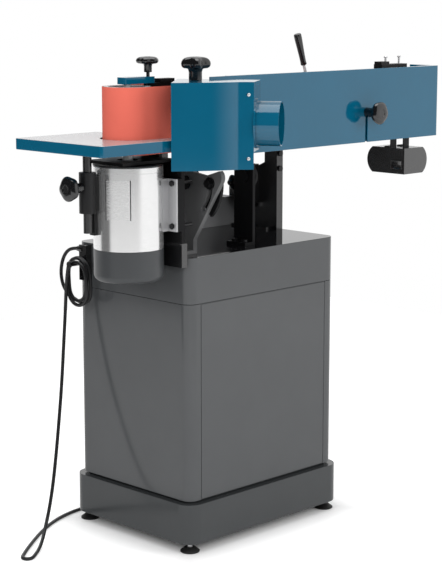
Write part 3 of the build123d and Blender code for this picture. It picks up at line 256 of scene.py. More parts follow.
def cloudedColour(tree, peel, colour, swing):  # a colour that drifts a little darker and lighter
    dark, pale = scaledColour(colour, 1 - swing), scaledColour(colour, 1 + swing)
    return mixColours(tree, peel.outputs["Tone"], dark, pale)


def makePaint(finish):
    material, tree, shader = newMaterial(finish["name"])
    peelScale, peelDepth = finish["peel"]
    peel = placePeel(tree, peelScale, finish["toneScale"])
    # paler arrises along the edges: a painted highlight
    edgeHighlight = placeGroup(tree, edgeHighlightGroup, Width=finish["edgeHighlightWidth"], Gain=finish["edgeHighlightGain"])
    toned = cloudedColour(tree, peel, finish["colour"], finish["toneSwing"])
    edgeHighlighted = mixColours(tree, edgeHighlight.outputs["Edge"], toned, scaledColour(finish["colour"], finish["edgeHighlightPale"]))
    tree.links.new(edgeHighlighted, shader.inputs["Base Color"])
    spread = finish["roughSwing"] * finish["rough"]
    roughness = rangeOf(tree, peel.outputs["Tone"], finish["rough"] - spread, finish["rough"] + spread)
    tree.links.new(roughness, shader.inputs["Roughness"])
    shader.inputs["Specular IOR Level"].default_value = finish["shine"]
    if "glossBelow" in finish:  # a coat of gloss up to a height
        level = placeGroup(tree, levelGroup, Level=finish["glossBelow"])
        tree.links.new(rangeOf(tree, level.outputs["Above"], 1.0, 0.0), shader.inputs["Coat Weight"])
        shader.inputs["Coat Roughness"].default_value = finish["coatRough"]
        shader.inputs["Coat IOR"].default_value = finish["coatIor"]
    raiseSurface(tree, shader, peel.outputs["Height"], peelDepth)
    return material


def makeMetal(finish):
    material, tree, shader = newMaterial(finish["name"])
    grain = placeGrain(tree, finish)
    streak = scaledColour(finish["colour"], finish["streakDark"])
    toned = mixColours(tree, grain.outputs["Streak"], streak, finish["colour"])
    tree.links.new(toned, shader.inputs["Base Color"])
    shader.inputs["Metallic"].default_value = finish["metal"]
    rougher = finish["rough"] + finish["roughSpread"]
    roughness = rangeOf(tree, grain.outputs["Streak"], finish["rough"], rougher)
    tree.links.new(roughness, shader.inputs["Roughness"])
    raiseSurface(tree, shader, grain.outputs["Height"], finish["lineDepth"])
    return material


paintDefaults = dict(toneScale=7.0, toneSwing=0.1, roughSwing=0.15, edgeHighlightWidth=0.0008, edgeHighlightGain=5.0,
                     edgeHighlightPale=1.35, coatRough=0.2, coatIor=1.85)
paintFinishes = {  # peel is the scale and the depth of the orange peel
    "cabinetGrey": dict(colour=(0.064, 0.067, 0.07), rough=0.12, shine=0.5, peel=(1500.0, 0.00001)),
    "plinthGrey": dict(colour=(0.038, 0.041, 0.043), rough=0.18, shine=0.5, peel=(1500.0, 0.00001)),
    "tealEnamel": dict(colour=(0.0012, 0.086, 0.156), rough=0.07, shine=0.7, peel=(500.0, 0.000004)),
    "plateBlack": dict(colour=(0.004, 0.004, 0.0045), rough=0.26, shine=1.0, peel=(1200.0, 0.00003)),
    "plateDull": dict(colour=(0.004, 0.004, 0.0045), rough=0.4, shine=0.15, peel=(1200.0, 0.00003)),
    "mountBlack": dict(colour=(0.004, 0.004, 0.0045), rough=0.4, shine=0.15, peel=(1200.0, 0.00002),
                       glossBelow=0.737),  # the lip at its foot shines
    "boltBlack": dict(colour=(0.005, 0.005, 0.0055), rough=0.28, shine=0.35, peel=(2500.0, 0.00002)),
    "castBlack": dict(colour=(0.007, 0.007, 0.0075), rough=0.42, shine=0.4, peel=(420.0, 0.00012)),
    "plateGrey": dict(colour=(0.085, 0.086, 0.088), rough=0.36, shine=0.45, peel=(1100.0, 0.00004)),
    # painted light: a paler copy of plateGrey for the channel, to make up for the shade it stands in
    "channelLitGrey": dict(colour=(0.17, 0.172, 0.176), rough=0.36, shine=0.5, peel=(1100.0, 0.00003)),
    "fanCoverGrey": dict(colour=(0.044, 0.047, 0.05), rough=0.34, shine=0.45, peel=(1300.0, 0.00003)),
    "shieldDark": dict(colour=(0.012, 0.012, 0.013), rough=0.3, shine=0.5, peel=(900.0, 0.00003)),
    "switchBlack": dict(colour=(0.006, 0.006, 0.0065), rough=0.4, shine=0.2, peel=(1800.0, 0.00003),
                        glossBelow=0.9),  # the hangers above the box are dull
    "knobBlack": dict(colour=(0.004, 0.004, 0.0045), rough=0.16, shine=0.9, peel=(1500.0, 0.00001)),
    "footRubber": dict(colour=(0.01, 0.01, 0.01), rough=0.55, shine=0.35, peel=(1600.0, 0.00006)),
    "cordSheath": dict(colour=(0.01, 0.01, 0.011), rough=0.4, shine=0.45, peel=(2200.0, 0.00003)),
    "graphiteCloth": dict(colour=(0.03, 0.03, 0.032), rough=0.6, shine=0.3, peel=(900.0, 0.0001)),
    "buttonGreen": dict(colour=(0.02, 0.2, 0.05), rough=0.25, shine=0.5, peel=(1500.0, 0.00001)),
    "buttonRed": dict(colour=(0.45, 0.02, 0.02), rough=0.25, shine=0.5, peel=(1500.0, 0.00001)),
}
metalDefaults = dict(roughSpread=0.08, lineDepth=0.00001, streakDark=0.93)
metalFinishes = {
    "brightSteel": dict(colour=(0.72, 0.72, 0.73), rough=0.14, metal=0.55, stretch=(1.0, 1.0, 12.0),
                        lineScale=300.0),
    "groundSteel": dict(colour=(0.55, 0.55, 0.56), rough=0.28, metal=0.5, stretch=(0.06, 1.0, 1.0),
                        lineScale=900.0),
    "motorAluminium": dict(colour=(0.9, 0.9, 0.9), rough=0.14, metal=0.88, stretch=(0.25, 0.25, 2.5),
                           lineScale=260.0),
    "motorPlate": dict(colour=(0.9, 0.9, 0.9), rough=0.2, metal=0.8, stretch=(0.3, 0.3, 6.0), lineScale=300.0,
                       roughSpread=0.1, lineDepth=0.000001),
    "castAluminium": dict(colour=(0.45, 0.45, 0.46), rough=0.3, metal=0.45, stretch=(1.0, 1.0, 1.0),
                          lineScale=260.0),
}

finishes = {}
for finishName, finish in paintFinishes.items():
    finishes[finishName] = makePaint({"name": finishName, **paintDefaults, **finish})
for finishName, finish in metalFinishes.items():
    finishes[finishName] = makeMetal({"name": finishName, **metalDefaults, **finish})

capFinish = {
    "level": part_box("cabinet_cap")[1].z - 0.8 * mm,  # just under the top face
    "topColour": (0.006, 0.006, 0.007),
    "topRough": 0.04,
    "shine": 0.5,
    "toneScale": 5.0,
    "toneSwing": 0.1,
    "peelDepth": 0.000003,
}


def makeCapPaint(finish):  # grey sides, a glossy near-black top
    material, tree, shader = newMaterial("capPaint")
    sides = paintFinishes["cabinetGrey"]
    peel = placePeel(tree, sides["peel"][0], finish["toneScale"])
    level = placeGroup(tree, levelGroup, Level=finish["level"])
    toned = cloudedColour(tree, peel, sides["colour"], finish["toneSwing"])
    colour = mixColours(tree, level.outputs["Above"], toned, finish["topColour"])
    tree.links.new(colour, shader.inputs["Base Color"])
    roughness = rangeOf(tree, level.outputs["Above"], sides["rough"], finish["topRough"])
    tree.links.new(roughness, shader.inputs["Roughness"])
    shader.inputs["Specular IOR Level"].default_value = finish["shine"]
    raiseSurface(tree, shader, peel.outputs["Height"], finish["peelDepth"])
    return material


tableFinish = {
    "topLevel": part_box("small_table")[1].z - 0.7 * mm,  # both tops lie at one height
    "topColour": (0.52, 0.52, 0.53),
    "topMetal": 0.3,
    "topRough": 0.22,
    "stretch": (0.05, 1.0, 1.0),
    "lineScale": 700.0,
    "lineDepth": 0.00001,
    "streakDark": 0.88,
    "toneScale": 6.0,
    "toneSwing": 0.08,
}


def makeTablePaint(finish):  # enamelled edges round a ground cast iron top
    material, tree, shader = newMaterial("tablePaint")
    enamel = paintFinishes["tealEnamel"]
    peel = placePeel(tree, enamel["peel"][0], finish["toneScale"])
    grain = placeGrain(tree, finish)
    level = placeGroup(tree, levelGroup, Level=finish["topLevel"])
    above = level.outputs["Above"]
    edge = cloudedColour(tree, peel, enamel["colour"], finish["toneSwing"])
    streak = scaledColour(finish["topColour"], finish["streakDark"])
    ground = mixColours(tree, grain.outputs["Streak"], streak, finish["topColour"])
    tree.links.new(mixColours(tree, above, edge, ground), shader.inputs["Base Color"])
    tree.links.new(rangeOf(tree, above, 0.0, finish["topMetal"]), shader.inputs["Metallic"])
    tree.links.new(rangeOf(tree, above, enamel["rough"], finish["topRough"]), shader.inputs["Roughness"])
    raiseSurface(tree, shader, grain.outputs["Height"], finish["lineDepth"])
    return material


beltFinish = {
    "colour": (0.73, 0.15, 0.107),
    "dark": (0.57, 0.1, 0.07),
    "rough": 0.75,
    "shine": 0.25,
    "toneScale": 9.0,
    "grainScale": 2400.0,
    "grainDepth": 0.00025,
    "grainStrength": 0.6,
}


def makeAbrasive(finish):  # bonded grain on cloth, with the slow change of tone that use leaves
    material, tree, shader = newMaterial("abrasiveRed")
    peel = placePeel(tree, finish["grainScale"], finish["toneScale"])
    speckled = mixColours(tree, peel.outputs["Height"], finish["dark"], finish["colour"])
    toned = mixColours(tree, peel.outputs["Tone"], speckled, finish["colour"])
    tree.links.new(toned, shader.inputs["Base Color"])
    shader.inputs["Roughness"].default_value = finish["rough"]
    shader.inputs["Specular IOR Level"].default_value = finish["shine"]
    raiseSurface(tree, shader, peel.outputs["Height"], finish["grainDepth"], finish["grainStrength"])
    return material


finishes["capPaint"] = makeCapPaint(capFinish)
finishes["tablePaint"] = makeTablePaint(tableFinish)
finishes["abrasiveRed"] = makeAbrasive(beltFinish)
print("finishes made:", len(finishes))

# Which finish each node of the frame takes, apart from those that new pieces stand for
nodeFinishes = {
    "cabinetGrey": ["cabinet_shell", "access_panel"],
    "capPaint": ["cabinet_cap"],
    "plinthGrey": ["plinth"],
    "footRubber": ["drum_sleeve"],
    "brightSteel": ["guide_rods", "motor_shaft", "tracking_screw", "tension_lever", "eccentric_crank",
                    "main_table_posts"],
    "plateGrey": ["tilt_quadrant"],
    "channelLitGrey": ["cross_channel"],
    "plateBlack": ["table_columns", "table_sleeves", "small_table_post"],
    "plateDull": ["trunnion_plate", "head_beam", "tilt_lugs", "drum_arm"],
    "mountBlack": ["motor_mount_plate"],
    "boltBlack": ["frame_bolts", "tilt_lock_nut"],
    "castBlack": ["oscillation_gearbox", "post_clamp", "idler_yoke"],
    "knobBlack": ["cord_hook"],
    "tealEnamel": ["rear_guard", "guard_strap", "dust_hood", "dust_port", "drum_top_block"],
    "groundSteel": ["platen", "carriage_bar", "idler_roller"],
    "graphiteCloth": ["graphite_pad"],
    "castAluminium": ["motor_feet", "drive_drum"],
    "fanCoverGrey": ["fan_cover"],
    "switchBlack": ["switch_box"],
    "abrasiveRed": ["sanding_belt"],
    "tablePaint": ["small_table", "main_table"],
    "buttonGreen": ["start_button"],
    "buttonRed": ["stop_button"],
}
for finishName, nodeNames in nodeFinishes.items():
    for nodeName in nodeNames:
        mesh = nodes[nodeName].data
        mesh.materials.clear()
        mesh.materials.append(finishes[finishName])
print("finishes placed on the nodes")


# New pieces
def addPiece(name, mesh, body, finishName, replaced=()):
    piece = bpy.data.objects.new(name, mesh)
    scene.collection.objects.link(piece)
    mesh.materials.append(finishes[finishName])
    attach(piece, body)
    if replaced:
        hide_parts(*replaced)
    return piece


# Mains cord: gland, hung hank, floor, put-away coil
cordRun = {
    "diameter": 8.5 * mm,
    "upper": [
        (-338.0, 244.0, 686.0), (-340.0, 264.0, 684.5), (-343.0, 281.0, 674.0), (-346.0, 291.5, 655.0),
        (-349.0, 295.0, 632.0), (-351.0, 292.0, 609.0), (-353.0, 281.0, 588.0), (-354.5, 261.0, 573.0),
        (-355.0, 237.0, 564.9), (-355.2, 214.0, 557.5), (-355.4, 195.5, 559.0),
    ],
    "lower": [
        (-372.0, 249.0, 592.0), (-374.0, 249.5, 552.0), (-379.0, 248.0, 506.0), (-387.0, 244.0, 452.0),
        (-396.0, 239.0, 394.0), (-407.0, 233.0, 335.0), (-420.0, 226.0, 277.0), (-434.0, 218.0, 221.0),
        (-449.0, 209.5, 167.0), (-465.0, 201.0, 117.0), (-482.0, 193.0, 73.0), (-505.0, 180.0, 37.0),
        (-533.0, 158.0, 14.0), (-563.0, 134.0, 5.5), (-588.0, 115.0, 4.6), (-607.1, 101.3, 4.6),
        (-616.9, 99.6, 4.6), (-624.4, 105.3, 4.6), (-626.2, 115.1, 4.6), (-620.6, 123.3, 4.6),
        (-606.0, 136.0, 4.6), (-578.0, 158.5, 4.6), (-535.6, 190.5, 4.6), (-486.0, 226.0, 4.6),
        (-430.0, 260.0, 4.6), (-376.0, 285.0, 4.6), (-322.0, 300.0, 4.6), (-268.0, 304.0, 4.6),
        (-216.0, 297.0, 4.6), (-170.0, 286.0, 4.6),
    ],
    "hank": {"turns": 3, "firstStep": 2, "stepsShort": 3, "centre": (214.0, 611.25), "bend": 35.0,
             "straight": 40.0, "startX": -355.0, "pitch": -6.4, "loose": 6.0, "looseRate": 4.1,
             "looseStart": 0.6, "sway": 6.0, "swayRate": 2.3},
    "coil": {"centre": (-130.0, 330.0), "outer": 51.3, "inner": 42.7, "low": 4.6, "high": 13.2, "end": 17.0},
    "pointsPerTurn": 16,
    "order": 3,
    "stepsPerPoint": 8,
    "ringSteps": 4,
}


def slotPoint(share, bend, straight):  # a place on a long loop, from its foot up the -Y limb and over the top
    quarter = pi * bend / 2
    travelled = share * (4 * quarter + 2 * straight)
    if travelled < quarter:
        turned = travelled / bend
        return -bend * sin(turned), -straight / 2 - bend * cos(turned)
    if travelled < quarter + straight:
        return -bend, travelled - quarter - straight / 2
    if travelled < 3 * quarter + straight:
        turned = (travelled - quarter - straight) / bend
        return -bend * cos(turned), straight / 2 + bend * sin(turned)
    if travelled < 3 * quarter + 2 * straight:
        return bend, straight / 2 - (travelled - 3 * quarter - straight)
    turned = (travelled - 3 * quarter - 2 * straight) / bend
    return bend * cos(turned), -straight / 2 - bend * sin(turned)


def hankPoints(hank, perTurn):  # loose turns that differ a little in size and place
    points = []
    for step in range(hank["firstStep"], hank["turns"] * perTurn - hank["stepsShort"]):
        turn = step / perTurn
        reach = hank["bend"] + hank["loose"] * sin(hank["looseRate"] * turn + hank["looseStart"])
        across, up = slotPoint(turn % 1.0, reach, hank["straight"])
        y = hank["centre"][0] + across + hank["sway"] * sin(hank["swayRate"] * turn)
        points.append((hank["startX"] + hank["pitch"] * turn, y, hank["centre"][1] + up))
    return points


def coilPoints(coil, perTurn):  # a turn in, a quarter turn's rise, a turn and a quarter out
    points = []
    lowSteps = perTurn
    riseSteps = perTurn // 4
    topSteps = perTurn + perTurn // 4
    for step in range(lowSteps + riseSteps + topSteps + 1):
        angle = -pi / 2 + 2 * pi * step / perTurn
        inward = min(step / lowSteps, 1.0)
        climb = min(max((step - lowSteps) / riseSteps, 0.0), 1.0)
        outward = min(max((step - lowSteps - riseSteps) / perTurn, 0.0), 1.0)
        lastRise = max((step - lowSteps - riseSteps - perTurn) / (topSteps - perTurn), 0.0)
        radius = coil["outer"] + (coil["inner"] - coil["outer"]) * (inward - outward)
        height = coil["low"] + (coil["high"] - coil["low"]) * climb + (coil["end"] - coil["high"]) * lastRise
        x = coil["centre"][0] + radius * cos(angle)
        y = coil["centre"][1] + radius * sin(angle)
        points.append((x, y, height))
    return points


def makeCord(run):
    route = run["upper"] + hankPoints(run["hank"], run["pointsPerTurn"])
    route += run["lower"] + coilPoints(run["coil"], run["pointsPerTurn"])
    curve = bpy.data.curves.new("mainsLead", "CURVE")
    curve.dimensions = "3D"
    spline = curve.splines.new("NURBS")
    spline.points.add(len(route) - 1)
    for point, place in zip(spline.points, route):
        point.co = (place[0] * mm, place[1] * mm, place[2] * mm, 1.0)
    spline.order_u = run["order"]
    spline.use_endpoint_u = True
    spline.resolution_u = run["stepsPerPoint"]
    curve.bevel_depth = run["diameter"] / 2
    curve.bevel_resolution = run["ringSteps"]
    curve.use_fill_caps = True
    replaced = ("mains_cord", "cord_hank", "cord_coil")
    return addPiece("mainsLead", curve, "stand", "cordSheath", replaced)


mainsLead = makeCord(cordRun)
print("cord laid")


# Shapes that several pieces share
def turnTo(at, axis):
    return Matrix.Translation(Vector(at)) @ Vector(axis).to_track_quat("Z", "Y").to_matrix().to_4x4()


def lathe(bm, profile, at, axis, steps=48, sweep=2 * pi, startAngle=0.0):
    place = turnTo(at, axis) @ Matrix.Rotation(startAngle, 4, "Z")
    points = [bm.verts.new(place @ Vector((radius * mm, 0.0, height * mm))) for radius, height in profile]
    edges = [bm.edges.new(pair) for pair in zip(points, points[1:])]
    middle = place @ Vector((0.0, 0.0, 0.0))
    way = place.to_3x3() @ Vector((0.0, 0.0, 1.0))
    whole = abs(sweep - 2 * pi) < 1e-6
    bmesh.ops.spin(bm, geom=points + edges, cent=middle, axis=way, angle=sweep, steps=steps, use_merge=whole)


def edgesOf(points):  # each edge once, in a steady order
    return list(dict.fromkeys(edge for point in points for edge in point.link_edges))


def edgeWay(edge):
    return (edge.verts[1].co - edge.verts[0].co).normalized()


def roundEdges(bm, edges, roundOff):
    bmesh.ops.bevel(bm, geom=edges, offset=roundOff * mm, offset_type="OFFSET", segments=2, profile=0.5,
                    affect="EDGES", material=-1, clamp_overlap=True)


def addPrism(bm, at, axis, sides, radius, height, roundOff):  # the edges along the axis stay sharp
    seat = turnTo(at, axis) @ Matrix.Translation((0.0, 0.0, height * mm / 2))
    made = bmesh.ops.create_cone(bm, cap_ends=True, cap_tris=False, segments=sides, radius1=radius * mm,
                                 radius2=radius * mm, depth=height * mm, matrix=seat)
    way = Vector(axis).normalized()
    rims = [edge for edge in edgesOf(made["verts"]) if abs(edgeWay(edge).dot(way)) < 0.1]
    roundEdges(bm, rims, roundOff)


def addBlock(bm, low, high, roundOff):
    size = Vector(high) - Vector(low)
    middle = (Vector(low) + Vector(high)) / 2
    place = Matrix.Translation(middle) @ Matrix.Diagonal((*size, 1.0))
    made = bmesh.ops.create_cube(bm, size=1.0, matrix=place)
    roundEdges(bm, edgesOf(made["verts"]), roundOff)


def finishMesh(name, bm, sharpAngle=38.0):
    bmesh.ops.remove_doubles(bm, verts=bm.verts, dist=weldReach)
    bmesh.ops.recalc_face_normals(bm, faces=bm.faces)
    mesh = bpy.data.meshes.new(name)
    bm.to_mesh(mesh)
    bm.free()
    mesh.shade_smooth()
    mesh.set_sharp_from_angle(angle=radians(sharpAngle))
    return mesh


def addMesh(name, bm, body, finishName, replaced=()):
    return addPiece(name, finishMesh(name, bm), body, finishName, replaced)


seats = {joint["name"]: Vector(joint["pos_m"]) for joint in frame["joints"] if "pos_m" in joint}
ways = {joint["name"]: Vector(joint["axis"]) for joint in frame["joints"]}

# Lobed clamp knobs: hub, stud and a domed head with finger hollows
knobSpecs = {
    "hoodKnob": {"node": "hood_knob", "joint": "hood_clamp", "hub": (15.0, 26.0), "head": (35.0, 26.0),
                 "stud": (4.0, 17.0), "lobes": 5, "hollow": 0.3, "turn": 0.3},
    "armKnob": {"node": "arm_knob", "joint": "arm_clamp", "hub": (9.0, 19.0), "head": (27.0, 16.0),
                "stud": (4.0, 35.0), "lobes": 5, "hollow": 0.14, "turn": 0.8},
    "guardKnob": {"node": "guard_knob", "joint": "guard_clamp", "hub": (12.0, 34.0), "head": (29.0, 18.0),
                  "stud": (4.0, 12.0), "lobes": 5, "hollow": 0.07, "turn": 0.2},
    "smallTableKnob": {"node": "small_table_knob", "joint": "small_table_clamp", "hub": (11.0, 24.0),
                       "head": (29.0, 21.0), "stud": (4.0, 8.5), "lobes": 5, "hollow": 0.1, "turn": 0.5},
    "mainTableKnob": {"node": "main_table_knob", "joint": "main_table_clamp", "hub": (10.0, 18.0),
                      "head": (20.0, 16.0), "stud": (4.0, 7.5), "lobes": 5, "hollow": 0.2, "turn": 0.1},
}

# What the knobs share: chamfers in millimetres, the rest as shares of the hub or the head
knobShape = {
    "studChamfer": 0.6,
    "seat": 0.2,
    "hubChamfer": 0.8,
    "flare": [(1.0, 0.7), (1.1, 0.92)],
    "dome": [(0.55, 0.0), (0.8, 0.04), (0.93, 0.14), (0.99, 0.3), (1.0, 0.45), (0.97, 0.62), (0.89, 0.78),
             (0.76, 0.9), (0.58, 0.97), (0.4, 1.0), (0.32, 0.99), (0.3, 0.94), (0.0, 0.94)],
    "headFrom": 0.95,
    "hollowFrom": 0.45,
    "hollowOver": 0.5,
}


def knobProfile(spec):
    hubRadius, hubLength = spec["hub"]
    radius, thickness = spec["head"]
    studRadius, studLength = spec["stud"]
    tip, seat, chamfer = knobShape["studChamfer"], knobShape["seat"], knobShape["hubChamfer"]
    stem = [(0.0, -studLength), (studRadius - tip, -studLength)]
    stem += [(studRadius, tip - studLength), (studRadius, seat)]
    hub = [(hubRadius - chamfer, seat), (hubRadius, seat + chamfer)]
    hub += [(share * hubRadius, rise * hubLength) for share, rise in knobShape["flare"]]
    return stem + hub + [(share * radius, hubLength + rise * thickness) for share, rise in knobShape["dome"]]


def hollowLobes(bm, spec, at, axis):
    place = turnTo(at, axis)
    toKnob = place.inverted()
    radius = spec["head"][0] * mm
    headFrom = knobShape["headFrom"] * spec["hub"][1] * mm
    for point in bm.verts:
        local = toKnob @ point.co
        if local.z < headFrom:
            continue
        outward = (local.xy.length / radius - knobShape["hollowFrom"]) / knobShape["hollowOver"]
        angle = atan2(local.y, local.x) + spec["turn"]
        hollow = spec["hollow"] * min(max(outward, 0.0), 1.0) * (0.5 - 0.5 * cos(spec["lobes"] * angle))
        point.co = place @ Vector((local.x * (1 - hollow), local.y * (1 - hollow), local.z))


def makeKnob(name, spec):
    bm = bmesh.new()
    at, axis = seats[spec["joint"]], ways[spec["joint"]]
    lathe(bm, knobProfile(spec), at, axis, steps=60)
    hollowLobes(bm, spec, at, axis)
    body = nodes[spec["node"]]["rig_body"]
    addMesh(name, bm, body, "knobBlack", (spec["node"],))


for knobName, knobSpec in knobSpecs.items():
    makeKnob(knobName, knobSpec)
print("knobs turned:", len(knobSpecs))

# Lever grip: a tapered handle, cut off flat
gripSpec = {
    "lean": 18.3,  # degrees from upright
    "start": 29.0,
    "profile": [(0.0, 0.0), (4.1, 0.0), (6.8, 0.4), (7.8, 2.4), (7.3, 8.0), (7.4, 20.0), (8.2, 40.0),
                (9.1, 58.0), (9.5, 67.0), (9.5, 77.5), (8.8, 79.4), (8.0, 80.0), (0.0, 80.0)],
}


def makeGrip(spec):
    bm = bmesh.new()
    way = Vector((-sin(radians(spec["lean"])), 0.0, cos(radians(spec["lean"]))))
    foot = seats["lever_throw"] + way * spec["start"] * mm
    lathe(bm, spec["profile"], foot, way, steps=40)
    addMesh("leverGrip", bm, "lever", "knobBlack", ("lever_grip",))


makeGrip(gripSpec)
print("lever grip turned")

# Cable blank on the switch box: a rim round a sunk panel
blankSpec = {"y": (-121.0, -85.0), "z": (845.0, 867.0), "rim": 2.2, "proud": 1.6, "sunk": 1.2, "bite": 0.2,
             "roundOff": 0.5}


def makeCableBlank(spec):
    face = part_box("switch_box")[0].x
    bm = bmesh.new()
    low = Vector((face - spec["proud"] * mm, spec["y"][0] * mm, spec["z"][0] * mm))
    high = Vector((face + spec["bite"] * mm, spec["y"][1] * mm, spec["z"][1] * mm))
    addBlock(bm, low, high, spec["roundOff"])
    bm.faces.ensure_lookup_table()
    front = max((side for side in bm.faces if side.normal.x < -0.9), key=lambda side: side.calc_area())
    bmesh.ops.inset_region(bm, faces=[front], thickness=spec["rim"] * mm)
    bmesh.ops.translate(bm, verts=front.verts[:], vec=(spec["sunk"] * mm, 0, 0))
    addMesh("cableBlank", bm, "head", "switchBlack")


makeCableBlank(blankSpec)
print("cable blank set")

# Motor: turned shell with a blank plate on a dark backing sheet whose rims are painted shade lines at the
# plate's sides, and a dark end shield
motorSpec = {
    "bore": 55.5,
    "footEdge": 1.2,
    "topEdge": 1.5,
    "groove": {"low": 174.0, "width": 2.0, "slope": 0.5, "depth": 0.9},
    # from, to and wider are angles in degrees round the motor
    "plate": {"from": 11.0, "to": 51.0, "low": 72.0, "high": 161.0, "proud": 0.8, "bite": 0.5},
    "edgeShadeSheet": {"wider": 1.6, "proud": 0.4},
}
shieldSpec = {"bore": 12.6, "footEdge": (0.4, 0.5), "topEdge": 1.0, "dish": (0.62, 0.6, 0.36, 0.34),
              "dishDepth": 0.9}


def roundNode(node):  # an upright round node's foot in metres, its radius and height in millimetres
    low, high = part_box(node)
    foot = Vector(((low.x + high.x) / 2, (low.y + high.y) / 2, low.z))
    return foot, (high.x - low.x) / 2 / mm, (high.z - low.z) / mm


def wrapPlate(at, radius, plate, proud, wider):  # a sheet bent round the motor
    bm = bmesh.new()
    low, high = plate["low"], plate["high"]
    inner, outer = radius - plate["bite"], radius + proud
    rim = [(inner, low), (outer, low), (outer, high), (inner, high), (inner, low)]
    fromAngle, toAngle = radians(plate["from"] - wider), radians(plate["to"] + wider)
    lathe(bm, rim, at, (0, 0, 1), steps=16, sweep=toAngle - fromAngle, startAngle=fromAngle)
    bmesh.ops.holes_fill(bm, edges=[edge for edge in bm.edges if edge.is_boundary], sides=8)
    return bm


def makeMotorShell(spec):
    at, radius, height = roundNode("motor_body")
    bore, foot, top, groove = spec["bore"], spec["footEdge"], spec["topEdge"], spec["groove"]
    low, high = groove["low"], groove["low"] + groove["width"]
    sunk, slope = radius - groove["depth"], groove["slope"]
    profile = [
        (bore, 0.0), (radius - foot, 0.0), (radius, foot), (radius, low), (sunk, low + slope),
        (sunk, high - slope), (radius, high), (radius, height - top), (radius - top, height), (bore, height),
        (bore, 0.0),
    ]
    bm = bmesh.new()
    lathe(bm, profile, at, (0, 0, 1), steps=96)
    addMesh("motorShell", bm, "head", "motorAluminium", ("motor_body",))
    plate = wrapPlate(at, radius, spec["plate"], spec["plate"]["proud"], 0.0)
    addMesh("motorPlate", plate, "head", "motorPlate")
    # a dark sheet a little wider than the plate: painted shade lines along its left and right edges
    edgeShadeSheet = wrapPlate(at, radius, spec["plate"], spec["edgeShadeSheet"]["proud"], spec["edgeShadeSheet"]["wider"])
    addMesh("plateEdgeShade", edgeShadeSheet, "head", "shieldDark")


def makeEndShield(spec):
    at, radius, height = roundNode("motor_end_shield")
    bore, top = spec["bore"], spec["topEdge"]
    inward, rise = spec["footEdge"]
    rim, ring, hubRing, hub = [share * radius for share in spec["dish"]]
    dish = height - spec["dishDepth"]
    profile = [
        (bore, 0.0), (radius - inward, 0.0), (radius, rise), (radius, height - top), (radius - top, height),
        (rim, height), (ring, dish), (hubRing, dish), (hub, height), (bore, height), (bore, 0.0),
    ]
    bm = bmesh.new()
    lathe(bm, profile, at, (0, 0, 1), steps=96)
    addMesh("endShield", bm, "head", "shieldDark", ("motor_end_shield",))


makeMotorShell(motorSpec)
makeEndShield(shieldSpec)
print("motor dressed")

# Fasteners: bright domed screws on the hood's strip, hex bolts through the motor's feet
stripSpec = {
    "start": (-280.5, -252.0),
    "end": (-261.5, -273.0),
    "along": 0.6,
    "levels": (934.0, 1075.0),
    "profile": [(0.0, -6.0), (2.4, -6.0), (2.4, 0.0), (4.0, 0.0), (4.0, 0.8), (3.44, 1.9), (2.2, 2.7),
                (1.0, 2.9), (1.0, 1.6), (0.0, 1.6)],
}
boltSpec = {
    "xs": (-362.0, -336.0),
    "ys": (-117.0, 37.0),
    "levels": (778.0, 875.0),
    "head": (7.0, 5.0, 0.7),  # radius, height and rounding, here and below
    "washer": (8.0, 1.2, 0.3),
    "nut": (7.0, 4.0, 0.7),
    "shank": (4.0, 32.0, 0.6),  # its height is what stands past the right face
}


def makeStripScrews(spec):
    bm = bmesh.new()
    start, end = Vector((*spec["start"], 0.0)), Vector((*spec["end"], 0.0))
    along = (end - start).normalized()
    out = Vector((along.y, -along.x, 0.0))
    seat = start + (end - start) * spec["along"]
    for level in spec["levels"]:
        lathe(bm, spec["profile"], (seat + Vector((0.0, 0.0, level))) * mm, out, steps=24)
    addMesh("stripScrews", bm, "head", "brightSteel", ("head_screws",))


def makeMotorBolts(spec):
    bm = bmesh.new()
    leftX, rightX = spec["xs"]
    shank, past, shankRound = spec["shank"]
    for y in spec["ys"]:
        for level in spec["levels"]:
            left = Vector((leftX, y, level)) * mm
            right = Vector((rightX, y, level)) * mm
            nutSeat = right + Vector((spec["washer"][1] * mm, 0, 0))
            addPrism(bm, left, (-1, 0, 0), 6, *spec["head"])
            addPrism(bm, right, (1, 0, 0), 24, *spec["washer"])
            addPrism(bm, nutSeat, (1, 0, 0), 6, *spec["nut"])
            addPrism(bm, left, (1, 0, 0), 20, shank, rightX - leftX + past, shankRound)
    addMesh("motorBolts", bm, "head", "boltBlack", ("head_screws",))


makeStripScrews(stripSpec)
makeMotorBolts(boltSpec)
print("screws and bolts set")

# Bright adjusting stud beside the tracking screw
trackingSpec = {
    "apart": 55.0,
    "profile": [(0.0, 0.0), (3.2, 0.0), (3.2, 15.5), (5.0, 16.0), (5.0, 19.0), (4.0, 20.2), (0.0, 20.2)],
}


def makeTrackingStud(spec):
    bm = bmesh.new()
    foot = seats["tracking_turn"] - Vector((spec["apart"] * mm, 0, 0))
    lathe(bm, spec["profile"], foot, (0, 0, 1), steps=24)
    addMesh("trackingStud", bm, "idler_slide", "brightSteel")


makeTrackingStud(trackingSpec)
print("tracking stud set")

# Levelling feet: domed pads, threaded studs and lock nuts
footSpec = {
    "pad": [(0.0, 0.0), (21.5, 0.0), (23.0, 1.2), (23.0, 3.4), (21.4, 4.8), (16.5, 8.5), (13.6, 11.2),
            (12.4, 12.0), (0.0, 12.0)],
    "stud": 6.0,
    "studHigh": 40.0,
    "thread": 1.5,
    "threadDepth": 0.6,
    "nut": (10.2, 6.0, 0.6),  # radius, height and rounding
    "nutLow": 18.0,
    "nutGap": 2.0,
}


def footPlaces(spec):
    low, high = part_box("foot_pads")
    reach = max(radius for radius, height in spec["pad"]) * mm
    xs, ys = (low.x + reach, high.x - reach), (low.y + reach, high.y - reach)
    return [Vector((x, y, 0.0)) for x in xs for y in ys]


